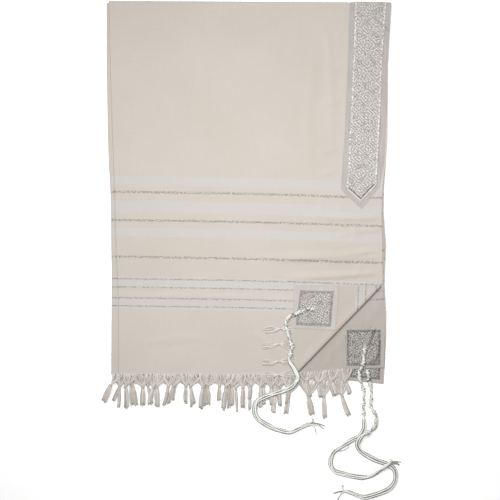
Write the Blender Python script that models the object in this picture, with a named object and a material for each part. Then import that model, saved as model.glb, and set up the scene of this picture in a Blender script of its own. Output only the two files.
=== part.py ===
"""A wool tallit laid flat: folded in four, one corner turned back, fringes and tassels spread.

Lengths in this file are millimetres and are turned into metres when a mesh is made.
X runs to the right, Y towards the folded top edge, Z up from the face that rests.
"""
import bpy
import bmesh
import math

METRES = 0.001

# ---------------------------------------------------------------- thicknesses and levels
LEAF = 1.2            # one thickness of the woven cloth
TRIM = 1.0            # one thickness of ribbon or of brocade
GAP = 0.3             # clear space between neighbouring pieces
TRIM_STACK = 2 * (GAP + TRIM)              # ribbon and brocade on a leaf
UNDER_TOP = TRIM_STACK + LEAF              # the two lowest leaves together
SECOND_LOW = UNDER_TOP + GAP
SECOND_TOP = SECOND_LOW + LEAF
FRONT_LOW = SECOND_TOP + GAP
FRONT_TOP = FRONT_LOW + LEAF
TURNED_LOW = FRONT_TOP + GAP
TURNED_TOP = TURNED_LOW + LEAF

# ---------------------------------------------------------------- outline of the folded cloth
HALF_WIDTH = 355.2    # widest point from the middle
TOP_LEFT_Y = 510.4    # folded top edge, at the left and at the right
TOP_RIGHT_Y = 506.5
TOP_LEFT_X = -335.0
TOP_RIGHT_X = HALF_WIDTH
LOWEST_Y = -510.4     # lowest tassel

# y, left fold of the front pair, left fold of the lower pair, right edges of three levels
EDGE_COLUMNS = ("y", "front_left", "under_left", "front_right", "second_right", "under_right")
EDGES = (
    (510.0, -335.0, -341.0, 355.2, 352.0, 351.0),
    (354.0, -332.0, -341.0, 346.0, 344.5, 343.5),
    (268.0, -329.0, -339.5, 346.0, 345.0, 343.5),
    (175.0, -326.0, -338.0, 344.5, 343.0, 343.5),
    (109.0, -323.5, -335.5, 340.5, 339.5, 341.5),
    (48.0, -321.0, -332.0, 333.5, 335.0, 337.0),
    (-13.0, -319.5, -330.5, 331.5, 334.5, 337.0),
    (-87.0, -317.5, -330.0, 333.0, 339.0, 343.0),
    (-128.0, -316.0, -329.0, 333.5, 337.5, 341.0),
    (-185.0, -313.0, -328.5, 334.5, 336.5, 339.0),
    (-253.0, -311.5, -329.0, 334.5, 340.5, 343.0),
    (-324.0, -311.0, -329.5, 334.5, 340.0, 342.5),
    (-388.0, -311.0, -330.0, 334.5, 338.0, 339.5),
    (-430.0, -311.0, -330.0, 334.5, 337.0, 337.0),
)

FRONT_BOTTOM = ((-311.0, -402.5), (120.0, -404.0))
SECOND_BOTTOM = ((-311.0, -400.0), (134.8, -400.3), (236.4, -390.5), (338.1, -386.9))
UNDER_BOTTOM = ((-330.0, -403.0), (95.0, -403.0), (337.0, -427.5))

# ---------------------------------------------------------------- folds
TOP_ROLL = FRONT_TOP / 2                   # radius of the folded top edge
LEFT_ROLL = (FRONT_TOP - SECOND_LOW) / 2   # radius of the folded left edge
TOP_TURN_END = 4.9                         # where the top turn stops on the underside
TOP_TURN_SEAM = TOP_TURN_END + GAP

# ---------------------------------------------------------------- neckband
BAND_COLUMNS = ("y", "ribbon_left", "brocade_left", "brocade_right", "ribbon_right")
BAND = (
    (510.0, 253.0, 266.5, 343.5, 354.0),
    (354.0, 248.5, 260.5, 332.5, 345.0),
    (249.0, 244.0, 256.0, 329.0, 344.0),
    (195.0, 241.5, 253.0, 326.5, 341.5),
    (119.0, 236.5, 249.5, 322.5, 337.5),
    (62.0, 232.5, 245.0, 319.5, 327.0),
)
# left shoulder, tip, right shoulder of each pointed end
RIBBON_POINT = ((232.0, 48.0), (282.7, 0.5), (326.0, 56.5))
BROCADE_POINT = ((244.3, 50.5), (279.8, 18.6), (319.2, 60.3))
BAND_FOOT = 75.0      # below this height the rows bend into the point
BAND_RISE_START = 6.0
BAND_RISE_END = 1.5

# ---------------------------------------------------------------- turned corner
FOLD_UPPER = (334.4, -185.5)
FOLD_LOWER = (124.2, -402.8)
CORNER_APEX = (116.6, -185.2)
CORNER_LEFT_EDGE = ((-185.2, 116.6), (-292.5, 113.4), (-378.3, 118.3), (-402.8, 124.2))
FOLD_ROLL = 1.2       # radius of the roll at the middle of the fold
FOLD_ROLL_END = 0.75  # and at its two ends
FOLD_SLOPE = 25.0     # cloth settles flat over this length behind the roll
FOLD_SET_BACK = 3.2   # front leaf stops this far behind the outside of the fold
FOLD_TAIL = 2.9       # lower lip of the roll reaches back this far
CORNER_TRIM_END = 0.015

# ---------------------------------------------------------------- corner patches
# four corners each: upper left, upper right, lower right, lower left
RIBBON_1 = ((118.5, -186.5), (227.1, -188.7), (219.0, -295.0), (114.4, -290.1))
BROCADE_1 = ((132.1, -197.5), (213.9, -199.4), (207.0, -285.7), (121.5, -281.8))
RIBBON_2 = ((242.5, -284.0), (339.0, -283.0), (336.8, -385.2), (237.2, -388.2))
BROCADE_2 = ((248.6, -295.0), (328.8, -295.0), (328.0, -380.4), (248.2, -381.5))
RIBBON_3 = ((252.4, -324.0), (339.0, -324.0), (335.4, -425.4), (252.4, -417.2))
BROCADE_3 = ((262.0, -335.0), (329.5, -335.0), (327.0, -416.0), (262.0, -410.0))
RECESS_3 = (249.6, -321.0)   # left and upper limit of the step under the third patch
EYELET_1 = (168.3, -242.6)
EYELET_2 = (290.1, -336.9)
EYELET_RADIUS = 4.4
EYELET_BORE = 2.4
EYELET_HEIGHT = 1.0

# ---------------------------------------------------------------- fringes: plain solids of reach
# x, root y, tip y
FRONT_FRINGE = (
    (-355.2, -452.0, -478.0), (-347.0, -420.0, -489.0), (-339.0, -404.6, -490.0),
    (-290.0, -404.6, -489.0), (-240.0, -404.6, -484.0), (-190.0, -404.8, -487.0),
    (-135.0, -404.8, -485.0), (-80.0, -405.0, -486.0), (-20.0, -405.0, -494.0),
    (40.0, -405.2, -489.0), (80.0, -405.2, -495.0), (114.0, -405.4, -486.0),
)
THIRD_FRINGE = (
    (115.0, -405.9, -499.0), (150.0, -409.5, -502.0), (190.0, -413.6, LOWEST_Y),
    (225.0, -417.2, -507.0), (260.0, -420.8, -505.0),
)
SECOND_FRINGE = (
    (136.0, -401.2, -458.0), (175.0, -397.6, -459.0), (215.0, -393.8, -457.0),
    (250.0, -391.2, -456.0),
)
# y, root x, tip x
TURNED_FRINGE = (
    (-276.0, 112.6, 60.0), (-292.5, 112.4, 50.0), (-330.0, 114.3, 38.0), (-378.3, 117.1, 38.0),
    (-406.0, 122.6, 41.0),
)
FRONT_FRINGE_LEVELS = (0.0, 6.3, 2.6)      # underside, top at the root, top at the tip
THIRD_FRINGE_LEVELS = (0.0, 3.6, 2.4)
SECOND_FRINGE_LEVELS = (4.1, 5.9, 5.6)
TURNED_FRINGE_LEVELS = (7.1, 8.7, 8.7)

# ---------------------------------------------------------------- knotted corner tassels
TASSEL_DIAMETER = 8.0
TASSEL_STEP = 20.0    # length of one straight stretch of the tube
# x, y, height of the middle line
TASSEL_1 = (
    (161.5, -242.6, 15.2), (147.0, -242.8, 15.2), (132.0, -249.6, 15.2), (116.0, -257.5, 14.6),
    (103.6, -262.5, 13.2), (97.0, -279.3, 13.0), (101.9, -298.9, 13.0), (105.0, -312.1, 13.0),
    (111.7, -331.7, 13.0), (108.5, -351.3, 13.0), (105.1, -367.7, 13.0), (118.3, -390.8, 13.0),
    (126.4, -410.0, 12.6), (121.0, -421.6, 11.4), (109.8, -433.7, 9.6), (84.8, -444.9, 9.2),
    (59.8, -452.5, 8.9), (41.2, -459.9, 8.6), (26.0, -469.9, 8.3), (21.6, -482.4, 7.9),
    (21.6, -497.6, 6.6), (29.9, -512.5, 4.6), (41.2, -521.1, 4.3), (59.8, -531.2, 4.3),
    (79.9, -538.8, 4.3), (104.9, -543.7, 4.3), (128.6, -535.1, 4.3), (151.2, -526.3, 4.3),
)
TASSEL_2 = (
    (288.9, -343.9, 12.4), (287.4, -363.6, 12.4), (284.2, -380.7, 12.2), (279.3, -390.0, 11.8),
    (276.0, -403.3, 9.6), (279.5, -419.2, 8.6), (285.0, -434.0, 5.4), (288.5, -447.1, 4.3),
    (288.0, -463.0, 4.3), (287.0, -477.0, 4.3), (287.0, -497.8, 4.3), (289.0, -518.0, 4.3),
    (290.0, -532.0, 4.3), (285.0, -546.0, 4.3), (274.9, -556.2, 4.3), (251.6, -568.2, 4.3),
    (228.1, -582.1, 4.3), (212.7, -594.6, 4.3), (207.0, -610.3, 4.3), (207.0, -625.7, 4.3),
    (215.6, -639.9, 4.3), (234.5, -646.1, 4.3), (259.5, -652.4, 4.3), (283.0, -655.6, 4.3),
    (303.1, -652.4, 4.3), (317.3, -642.9, 6.0), (331.2, -633.6, 10.0), (345.5, -622.8, 13.2),
)
TASSEL_3 = (
    (297.5, -399.5, 8.3), (299.0, -410.0, 8.3), (301.5, -421.0, 7.6), (305.0, -434.0, 4.6),
    (306.5, -447.0, 4.3), (305.5, -463.0, 4.3), (305.0, -476.6, 4.3), (310.0, -490.0, 4.3),
    (315.0, -500.8, 4.5), (317.0, -517.9, 6.5), (312.6, -530.4, 9.6), (300.1, -541.4, 12.8),
    (284.0, -551.5, 13.6), (275.0, -563.0, 12.0), (273.0, -577.0, 7.6), (281.3, -591.4, 4.3),
    (297.0, -602.5, 4.3), (318.7, -613.5, 4.3), (337.6, -620.3, 4.3), (353.3, -627.4, 4.3),
    (364.1, -638.5, 4.3), (366.5, -653.9, 4.3), (362.6, -669.6, 4.3), (350.1, -683.6, 4.3),
    (329.8, -693.1, 4.3), (306.2, -701.0, 4.3), (287.6, -704.1, 4.3), (268.8, -697.8, 4.3),
    (251.6, -691.4, 4.3),
)

# ---------------------------------------------------------------- soft ridges of the laid cloth
# x and y of the crest's middle, direction in degrees, half length, half width, height
RIDGES = (
    (250.0, -110.0, 4.0, 150.0, 42.0, 0.9),
    (-60.0, 40.0, -8.0, 230.0, 60.0, 0.7),
    (60.0, 300.0, 22.0, 220.0, 60.0, 0.8),
    (-170.0, -250.0, 12.0, 170.0, 55.0, 0.7),
)
RIDGE_FREE_TOP = 440.0     # ridges fade out between here and the folded top edge
RIDGE_FREE_SIDE = -250.0   # and towards the folded left edge
RIDGE_FREE_LOW = -360.0    # and towards the fringed edge
RIDGE_FADE = 60.0

# ---------------------------------------------------------------- colours
CLOTH_COLOUR = (0.70, 0.64, 0.57, 1.0)
LOWER_CLOTH_COLOUR = (0.62, 0.56, 0.50, 1.0)
RIBBON_COLOUR = (0.60, 0.56, 0.53, 1.0)
BROCADE_COLOUR = (0.56, 0.53, 0.50, 1.0)
FRINGE_COLOUR = (0.64, 0.57, 0.49, 1.0)
TASSEL_COLOUR = (0.78, 0.80, 0.75, 1.0)


def mix(a, b, t):
    return a + (b - a) * t


def smooth(t):
    t = min(1.0, max(0.0, t))
    return t * t * (3.0 - 2.0 * t)


def table_value(rows, key, column):
    """Value of one column at a key held in column 0; keys fall from row to row."""
    if key >= rows[0][0]:
        return rows[0][column]
    for above, below in zip(rows, rows[1:]):
        if key >= below[0]:
            t = (above[0] - key) / (above[0] - below[0])
            return mix(above[column], below[column], t)
    return rows[-1][column]


def along(points, x):
    """Height of a line of (x, y) points at x."""
    if x <= points[0][0]:
        return points[0][1]
    for (x0, y0), (x1, y1) in zip(points, points[1:]):
        if x <= x1:
            return mix(y0, y1, (x - x0) / (x1 - x0))
    return points[-1][1]


def edge(name, y):
    return table_value(EDGES, y, EDGE_COLUMNS.index(name))


def band_edge(name, y):
    return table_value(BAND, y, BAND_COLUMNS.index(name))


def top_y(x):
    return mix(TOP_LEFT_Y, TOP_RIGHT_Y, (x - TOP_LEFT_X) / (TOP_RIGHT_X - TOP_LEFT_X))


def relief(x, y):
    """Soft height of the laid cloth over its flat level."""
    fade = smooth((RIDGE_FREE_TOP - y) / RIDGE_FADE)
    fade *= smooth((x - RIDGE_FREE_SIDE) / RIDGE_FADE)
    fade *= smooth((y - RIDGE_FREE_LOW) / RIDGE_FADE)
    height = 0.0
    for middle_x, middle_y, degrees, half_length, half_width, rise in RIDGES:
        turn = math.radians(degrees)
        dx, dy = x - middle_x, y - middle_y
        run = dx * math.cos(turn) + dy * math.sin(turn)
        across = -dx * math.sin(turn) + dy * math.cos(turn)
        height += rise * math.exp(-(run / half_length) ** 2 - (across / half_width) ** 2)
    return height * fade


def make_material(name, colour, roughness):
    material = bpy.data.materials.new(name)
    material.use_nodes = True
    shader = material.node_tree.nodes["Principled BSDF"]
    shader.inputs["Base Color"].default_value = colour
    shader.inputs["Roughness"].default_value = roughness
    shader.inputs["Metallic"].default_value = 0.0
    material.diffuse_color = colour
    return material


def add_object(name, points, faces, colour, roughness=0.9):
    mesh = bpy.data.meshes.new(name)
    mesh.from_pydata([tuple(c * METRES for c in p) for p in points], [], faces)
    body = bmesh.new()
    body.from_mesh(mesh)
    bmesh.ops.recalc_face_normals(body, faces=body.faces)
    body.to_mesh(mesh)
    body.free()
    thing = bpy.data.objects.new(name, mesh)
    bpy.context.scene.collection.objects.link(thing)
    mesh.materials.append(make_material(name + "_cloth", colour, roughness))
    return thing


def wall(name, outer, inner, colour, roughness=0.9):
    """Closed wall between two grids of points of the same size."""
    rows, columns = len(outer), len(outer[0])
    points = [p for row in outer for p in row] + [p for row in inner for p in row]
    back = rows * columns

    def at(i, j):
        return i * columns + j

    faces = []
    for i in range(rows - 1):
        for j in range(columns - 1):
            a, b, c, d = at(i, j), at(i, j + 1), at(i + 1, j + 1), at(i + 1, j)
            faces.append((a, b, c, d))
            faces.append((back + d, back + c, back + b, back + a))
    rim = [at(0, j) for j in range(columns)]
    rim += [at(i, columns - 1) for i in range(1, rows)]
    rim += [at(rows - 1, j) for j in range(columns - 2, -1, -1)]
    rim += [at(i, 0) for i in range(rows - 2, 0, -1)]
    for k, a in enumerate(rim):
        b = rim[(k + 1) % len(rim)]
        faces.append((b, a, back + a, back + b))
    return add_object(name, points, faces, colour, roughness)


def steps(count):
    return [k / count for k in range(count + 1)]


# ---------------------------------------------------------------- the turn over the top edge

def band_depth(x):
    """0 beside the neckband, 1 under it: there the turn is drawn in to leave the band room."""
    left = band_edge("ribbon_left", TOP_RIGHT_Y)
    t = (x - (left - BAND_RISE_START)) / (BAND_RISE_START - BAND_RISE_END)
    return min(1.0, max(0.0, t))


def over_top(x, depth, turn):
    """Point on the turn over the top edge, at a depth inside the cloth's outer face."""
    drawn_in = TRIM_STACK * band_depth(x)
    radius = TOP_ROLL - drawn_in / 2
    middle_y = top_y(x) - drawn_in - radius
    middle_z = FRONT_TOP - radius
    reach = radius - depth
    return (x, middle_y + reach * math.sin(turn), middle_z + reach * math.cos(turn))


def fold_line_x(y):
    """X of the front leaf's slanting edge behind the turned corner."""
    (x0, y0), (x1, y1) = FOLD_UPPER, FOLD_LOWER
    run = math.hypot(x1 - x0, y1 - y0)
    sideways = FOLD_SET_BACK * run / abs(y1 - y0)
    return x0 + (x1 - x0) * (y - y0) / (y1 - y0) - sideways


def front_right(y):
    if y > FOLD_UPPER[1]:
        return edge("front_right", y)
    return min(edge("front_right", y), fold_line_x(y))


def front_leaf():
    band_left = band_edge("ribbon_left", TOP_RIGHT_Y)
    span_left = TOP_LEFT_X + LEFT_ROLL
    span = HALF_WIDTH - span_left
    rise_start = (band_left - BAND_RISE_START - span_left) / span
    rise_end = (band_left - BAND_RISE_END - span_left) / span
    fractions = [rise_start * t for t in steps(13)]
    fractions += [mix(rise_end, 1.0, t) for t in steps(3)]
    rows_y = [490.0, 460.0, 420.0, 385.0, 354.0, 325.0, 295.0, 268.0, 237.0, 206.0, 175.0, 142.0,
              109.0, 78.0, 48.0, 18.0, -13.0, -38.0, -62.0, -87.0, -108.0, -128.0, -156.0, -185.5,
              -208.0, -230.0, -253.0, -277.0, -300.0, -324.0, -345.0, -366.0, -385.0, -402.5]
    lip_turns = [math.pi * t for t in (1.0, 0.75, 0.5, 0.25)]
    top_turns = [math.pi * t for t in (1.0, 0.833, 0.667, 0.5, 0.333, 0.167, 0.0)]

    def section(y, thick):
        """x and depth of every column at height y, on the outer face or a thickness inside it."""
        left = edge("front_left", y)
        roll = LEFT_ROLL - thick
        lip = [(left + LEFT_ROLL - roll * math.sin(a), LEFT_ROLL - roll * math.cos(a))
               for a in lip_turns]
        flat = [(mix(left + LEFT_ROLL, front_right(y), f), thick) for f in fractions]
        return lip + flat

    def grid(thick):
        top = section(TOP_LEFT_Y, thick)
        rows = []
        tail = []
        for x, depth in top:
            end = over_top(x, depth, math.pi)
            tail.append((x, top_y(x) - TOP_TURN_END, end[2]))
        rows.append(tail)
        for turn in top_turns:
            rows.append([over_top(x, depth, turn) for x, depth in top])
        for y in rows_y:
            row = []
            for x, depth in section(y, thick):
                lower = (along(FRONT_BOTTOM, x) - rows_y[-1]) * smooth((-300.0 - y) / 100.0)
                low_y = y + lower
                x = min(x, front_right(low_y))
                row.append((x, low_y, FRONT_TOP - depth + relief(x, low_y)))
            rows.append(row)
        return rows

    return wall("front_leaf", grid(0.0), grid(LEAF), CLOTH_COLOUR)


def second_leaf():
    def grid(level):
        rows = []
        for b in steps(22):
            row = []
            for a in steps(14):
                guess = mix(edge("front_left", -400.0), edge("second_right", -400.0), a)
                high = top_y(guess) - TOP_TURN_SEAM
                y = mix(high, along(SECOND_BOTTOM, guess), b)
                left = edge("front_left", y) + LEFT_ROLL + GAP
                x = mix(left, edge("second_right", y), a)
                row.append((x, y, level + relief(x, y)))
            rows.append(row)
        return rows

    return wall("second_leaf", grid(SECOND_TOP), grid(SECOND_LOW), LOWER_CLOTH_COLOUR)


# ---------------------------------------------------------------- the two lowest leaves

# height, inset of a rounded fold, inset of two raw edges with a groove between them
UNDER_RINGS = (
    (0.0, 1.90, 1.7), (0.35, 0.80, 1.5), (1.0, 0.23, 1.5), (1.6, 0.03, 1.8), (1.9, 0.0, 3.6),
    (2.2, 0.03, 0.3), (2.8, 0.23, 0.0), (3.45, 0.80, 0.0), (UNDER_TOP, 1.90, 0.2),
)


def prism(name, outline, low, high):
    """Upright solid on an outline of (x, y) points, used as a cutter."""
    count = len(outline)
    points = [(x, y, low) for x, y in outline] + [(x, y, high) for x, y in outline]
    faces = [tuple(range(count)), tuple(range(2 * count - 1, count - 1, -1))]
    for k in range(count):
        n = (k + 1) % count
        faces.append((n, k, count + k, count + n))
    return add_object(name, points, faces, LOWER_CLOTH_COLOUR)


def cut(target, cutter):
    modifier = target.modifiers.new(cutter.name, "BOOLEAN")
    modifier.operation = "DIFFERENCE"
    modifier.solver = "EXACT"
    modifier.object = cutter
    cutter.hide_render = True
    cutter.display_type = "WIRE"


def under_leaves():
    # x, y, which way each point moves inwards
    outline = []
    for x in (TOP_LEFT_X - 6.0, -200.0, -50.0, 100.0, 251.0):
        outline.append((x, top_y(x) - TOP_TURN_SEAM, "left" if x < -300 else "none", "none"))
    outline.append((edge("under_right", 500.0), top_y(351.0) - TOP_TURN_SEAM, "right", "none"))
    for row in EDGES[1:-1]:
        outline.append((edge("under_right", row[0]), row[0], "right", "none"))
    outline.append((UNDER_BOTTOM[2][0], UNDER_BOTTOM[2][1], "right", "low"))
    for x in (216.0, 95.0, -50.0, -200.0):
        outline.append((x, along(UNDER_BOTTOM, x), "none", "low"))
    outline.append((UNDER_BOTTOM[0][0], UNDER_BOTTOM[0][1], "left", "low"))
    for row in reversed(EDGES[1:-2]):
        outline.append((edge("under_left", row[0]), row[0], "left", "none"))
    count = len(outline)
    points = []
    for z, fold_inset, raw_inset in UNDER_RINGS:
        for x, y, sideways, upright in outline:
            dx = {"left": fold_inset, "right": -raw_inset, "none": 0.0}[sideways]
            dy = {"low": raw_inset, "none": 0.0}[upright]
            points.append((x + dx, y + dy, z))
    faces = [tuple(range(count))]
    for ring in range(len(UNDER_RINGS) - 1):
        low, high = ring * count, (ring + 1) * count
        for k in range(count):
            n = (k + 1) % count
            faces.append((low + n, low + k, high + k, high + n))
    last = (len(UNDER_RINGS) - 1) * count
    faces.append(tuple(range(last + count - 1, last - 1, -1)))
    body = add_object("under_leaves", points, faces, LOWER_CLOTH_COLOUR)

    margin = 2.0
    far = HALF_WIDTH + 20.0
    band_room = [(far, top_y(0.0) + 20.0)]
    band_room.append((band_edge("ribbon_left", 510.0) - margin, top_y(0.0) + 20.0))
    for row in BAND[1:-1]:
        band_room.append((row[1] - margin, row[0]))
    band_room.append((RIBBON_POINT[0][0] - margin, RIBBON_POINT[0][1]))
    band_room.append((RIBBON_POINT[1][0], RIBBON_POINT[1][1] - 1.5 * margin))
    band_room.append((RIBBON_POINT[2][0] + margin, RIBBON_POINT[2][1] - margin))
    band_room.append((far, 62.0))
    cut(body, prism("neckband_room", band_room, -5.0, TRIM_STACK))
    left, high = RECESS_3
    step = [(left, high), (left, -470.0), (far, -470.0), (far, high)]
    cut(body, prism("third_patch_room", step, LEAF, UNDER_TOP + 5.0))
    return body


# ---------------------------------------------------------------- neckband

def band_piece(name, left_name, right_name, point, columns, lift, colour, roughness):
    """One strip over the top fold: front half, turn, back half, a set height off the cloth."""
    tip_share = (point[1][0] - point[0][0]) / (point[2][0] - point[0][0])
    shares = [tip_share * t for t in steps(columns)]
    shares += [mix(tip_share, 1.0, t) for t in steps(columns)[1:]]
    heights = [75.0, 119.0, 157.0, 195.0, 249.0, 300.0, 354.0, 400.0, 440.0, 475.0]

    def foot_row(blend):
        row = []
        for s in shares:
            if s < tip_share:
                y = mix(point[0][1], point[1][1], s / tip_share)
            else:
                y = mix(point[1][1], point[2][1], (s - tip_share) / (1.0 - tip_share))
            x = mix(point[0][0], point[2][0], s)
            straight = mix(band_edge(left_name, BAND_FOOT), band_edge(right_name, BAND_FOOT), s)
            row.append((mix(x, straight, blend), mix(y, BAND_FOOT, blend)))
        return row

    flat = [foot_row(0.0), foot_row(0.35), foot_row(0.7)]
    for y in heights:
        flat.append([(mix(band_edge(left_name, y), band_edge(right_name, y), s), y)
                     for s in shares])

    def grid(off):
        rows = [[(x, y, FRONT_TOP + off + relief(x, y)) for x, y in row] for row in flat]
        edge_y = TOP_RIGHT_Y
        for turn in [math.pi * t for t in (0.0, 0.2, 0.4, 0.6, 0.8, 1.0)]:
            row = []
            for s in shares:
                x = mix(band_edge(left_name, edge_y), band_edge(right_name, edge_y), s)
                radius = TOP_ROLL - TRIM_STACK / 2
                middle_y = top_y(x) - TRIM_STACK - radius
                row.append((x, middle_y + (radius + off) * math.sin(turn),
                            FRONT_TOP - radius + (radius + off) * math.cos(turn)))
            rows.append(row)
        for row in reversed(flat):
            rows.append([(x, y, TRIM_STACK - off) for x, y in row])
        return rows

    return wall(name, grid(lift + TRIM), grid(lift), colour, roughness)


# ---------------------------------------------------------------- turned corner

def corner_left_x(y):
    rows = [(row_y, row_x) for row_y, row_x in CORNER_LEFT_EDGE]
    return table_value(rows, y, 1)


def fold_profile(width):
    """Middle line of the roll: distance behind the outside of the fold, and height."""
    fullness = smooth(width / 45.0)
    radius = mix(FOLD_ROLL_END, FOLD_ROLL, fullness)
    middle = FRONT_LOW + LEAF / 2
    centre = radius + LEAF / 2
    line = [(max(FOLD_TAIL, centre + 0.2), middle)]
    for degrees in (-90, -54, -18, 18, 54, 90):
        a = math.radians(degrees)
        line.append((centre - radius * math.cos(a), middle + radius + radius * math.sin(a)))
    slope = min(FOLD_SLOPE, 0.7 * (width - centre))
    high = middle + 2 * radius
    flat = TURNED_LOW + LEAF / 2
    for t in (0.2, 0.4, 0.6, 0.8, 1.0):
        line.append((centre + slope * t, mix(high, flat, smooth(t))))
    for t in (0.25, 0.5, 0.75, 1.0):
        line.append((mix(centre + slope, width, t), flat))
    return line


def offset_line(line, distance):
    """The same line moved sideways, towards the outside of the roll."""
    moved = []
    for k, (q, z) in enumerate(line):
        before = line[max(0, k - 1)]
        after = line[min(len(line) - 1, k + 1)]
        dq, dz = after[0] - before[0], after[1] - before[1]
        size = math.hypot(dq, dz)
        moved.append((q - distance * dz / size, z + distance * dq / size))
    return moved


def corner_rail(t):
    """Point on the fold and the facing point on the corner's own edge."""
    fold = tuple(mix(a, b, t) for a, b in zip(FOLD_UPPER, FOLD_LOWER))
    if t <= 0.5:
        far = tuple(mix(a, b, 2 * t) for a, b in zip(FOLD_UPPER, CORNER_APEX))
    else:
        y = mix(CORNER_APEX[1], FOLD_LOWER[1], 2 * t - 1)
        far = (corner_left_x(y), y)
    return fold, far


def turned_corner():
    shares = [CORNER_TRIM_END, 0.05, 0.1, 0.16, 0.23, 0.3, 0.37, 0.44, 0.5, 0.56, 0.63, 0.7, 0.77,
              0.84, 0.9, 0.95, 1.0 - CORNER_TRIM_END]

    def grid(side):
        rows = []
        for t in shares:
            fold, far = corner_rail(t)
            width = math.hypot(far[0] - fold[0], far[1] - fold[1])
            way = ((far[0] - fold[0]) / width, (far[1] - fold[1]) / width)
            row = []
            for q, z in offset_line(fold_profile(width), side * LEAF / 2):
                x, y = fold[0] + way[0] * q, fold[1] + way[1] * q
                row.append((x, y, z + relief(x, y)))
            rows.append(row)
        return rows

    return wall("turned_corner", grid(1.0), grid(-1.0), CLOTH_COLOUR)


def turned_top(x, y):
    """Height of the turned corner's upper face over the plain level, near a point."""
    (x0, y0), (x1, y1) = FOLD_UPPER, FOLD_LOWER
    run = math.hypot(x1 - x0, y1 - y0)
    behind = abs((x - x0) * (y1 - y0) - (y - y0) * (x1 - x0)) / run
    centre = FOLD_ROLL + LEAF / 2
    swell = 2 * (FOLD_ROLL - FOLD_ROLL_END) * (1.0 - smooth((behind - centre) / FOLD_SLOPE))
    return TURNED_TOP + swell + relief(x, y)


def patch(name, corners, cells, surface, lift, colour, roughness):
    """Four-cornered piece lying a set height over a surface."""
    upper_left, upper_right, lower_right, lower_left = corners

    def grid(off):
        rows = []
        for b in steps(cells):
            row = []
            for a in steps(cells):
                x = mix(mix(upper_left[0], upper_right[0], a), mix(lower_left[0], lower_right[0], a), b)
                y = mix(mix(upper_left[1], upper_right[1], a), mix(lower_left[1], lower_right[1], a), b)
                row.append((x, y, surface(x, y) + off))
            rows.append(row)
        return rows

    return wall(name, grid(lift + TRIM), grid(lift), colour, roughness)


def second_top(x, y):
    return SECOND_TOP + relief(x, y)


def third_floor(x, y):
    return LEAF


def eyelet(name, middle, surface):
    """Flat sewn ring round the hole that the tassel hangs from."""
    low = surface(middle[0], middle[1]) + TRIM_STACK + GAP
    profile = ((EYELET_BORE, 0.0), (EYELET_RADIUS, 0.0), (EYELET_RADIUS, 0.6 * EYELET_HEIGHT),
               (EYELET_RADIUS - 0.5, EYELET_HEIGHT), (EYELET_BORE + 0.5, EYELET_HEIGHT),
               (EYELET_BORE, 0.6 * EYELET_HEIGHT))
    around = 28
    points, faces = [], []
    for k in range(around):
        a = 2 * math.pi * k / around
        for radius, up in profile:
            points.append((middle[0] + radius * math.cos(a), middle[1] + radius * math.sin(a),
                           low + up))
    size = len(profile)
    for k in range(around):
        n = (k + 1) % around
        for m in range(size):
            p = (m + 1) % size
            faces.append((k * size + m, k * size + p, n * size + p, n * size + m))
    ring = add_object(name, points, faces, TASSEL_COLOUR, 0.8)
    for polygon in ring.data.polygons:
        polygon.use_smooth = True
    return ring


# ---------------------------------------------------------------- fringes

def fringe(name, sections, levels, sideways):
    """Wedge of a fringe's reach; each section runs from its root to its tip."""
    low, root_top, tip_top = levels
    points = []
    for place, root, tip in sections:
        for reach, z in ((root, low), (tip, low), (tip, tip_top), (root, root_top)):
            x, y = (reach, place) if sideways else (place, reach)
            lift = relief(x, y) if sideways else 0.0
            points.append((x, y, z + lift))
    faces = [(0, 1, 2, 3)]
    for k in range(len(sections) - 1):
        a, b = 4 * k, 4 * k + 4
        for m in range(4):
            n = (m + 1) % 4
            faces.append((a + n, a + m, b + m, b + n))
    last = 4 * (len(sections) - 1)
    faces.append((last + 3, last + 2, last + 1, last))
    return add_object(name, points, faces, FRINGE_COLOUR, 0.95)


# ---------------------------------------------------------------- tassels

def curve_point(route, k, t):
    """Point on the smooth curve through the route, between points k and k + 1."""
    p0 = route[max(0, k - 1)]
    p1, p2 = route[k], route[k + 1]
    p3 = route[min(len(route) - 1, k + 2)]
    out = []
    for a, b, c, d in zip(p0, p1, p2, p3):
        out.append(0.5 * (2 * b + (c - a) * t + (2 * a - 5 * b + 4 * c - d) * t * t
                          + (3 * b - a - 3 * c + d) * t ** 3))
    return tuple(out)


def tassel(name, route):
    fine = [curve_point(route, k, j / 8) for k in range(len(route) - 1) for j in range(8)]
    fine.append(route[-1])
    run = [0.0]
    for a, b in zip(fine, fine[1:]):
        run.append(run[-1] + math.dist(a, b))
    count = round(run[-1] / TASSEL_STEP)
    points = []
    place = 0
    for n in range(count + 1):
        goal = run[-1] * n / count
        while place < len(run) - 2 and run[place + 1] < goal:
            place += 1
        t = (goal - run[place]) / (run[place + 1] - run[place])
        points.append(tuple(mix(a, b, t) for a, b in zip(fine[place], fine[place + 1])))
    curve = bpy.data.curves.new(name, "CURVE")
    curve.dimensions = "3D"
    curve.bevel_depth = TASSEL_DIAMETER / 2 * METRES
    curve.bevel_resolution = 2
    curve.use_fill_caps = True
    spline = curve.splines.new("POLY")
    spline.points.add(len(points) - 1)
    for target, point in zip(spline.points, points):
        target.co = (point[0] * METRES, point[1] * METRES, point[2] * METRES, 1.0)
    curve.materials.append(make_material(name + "_thread", TASSEL_COLOUR, 0.75))
    thing = bpy.data.objects.new(name, curve)
    bpy.context.scene.collection.objects.link(thing)
    return thing


for old in list(bpy.data.objects):
    bpy.data.objects.remove(old, do_unlink=True)

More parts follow.
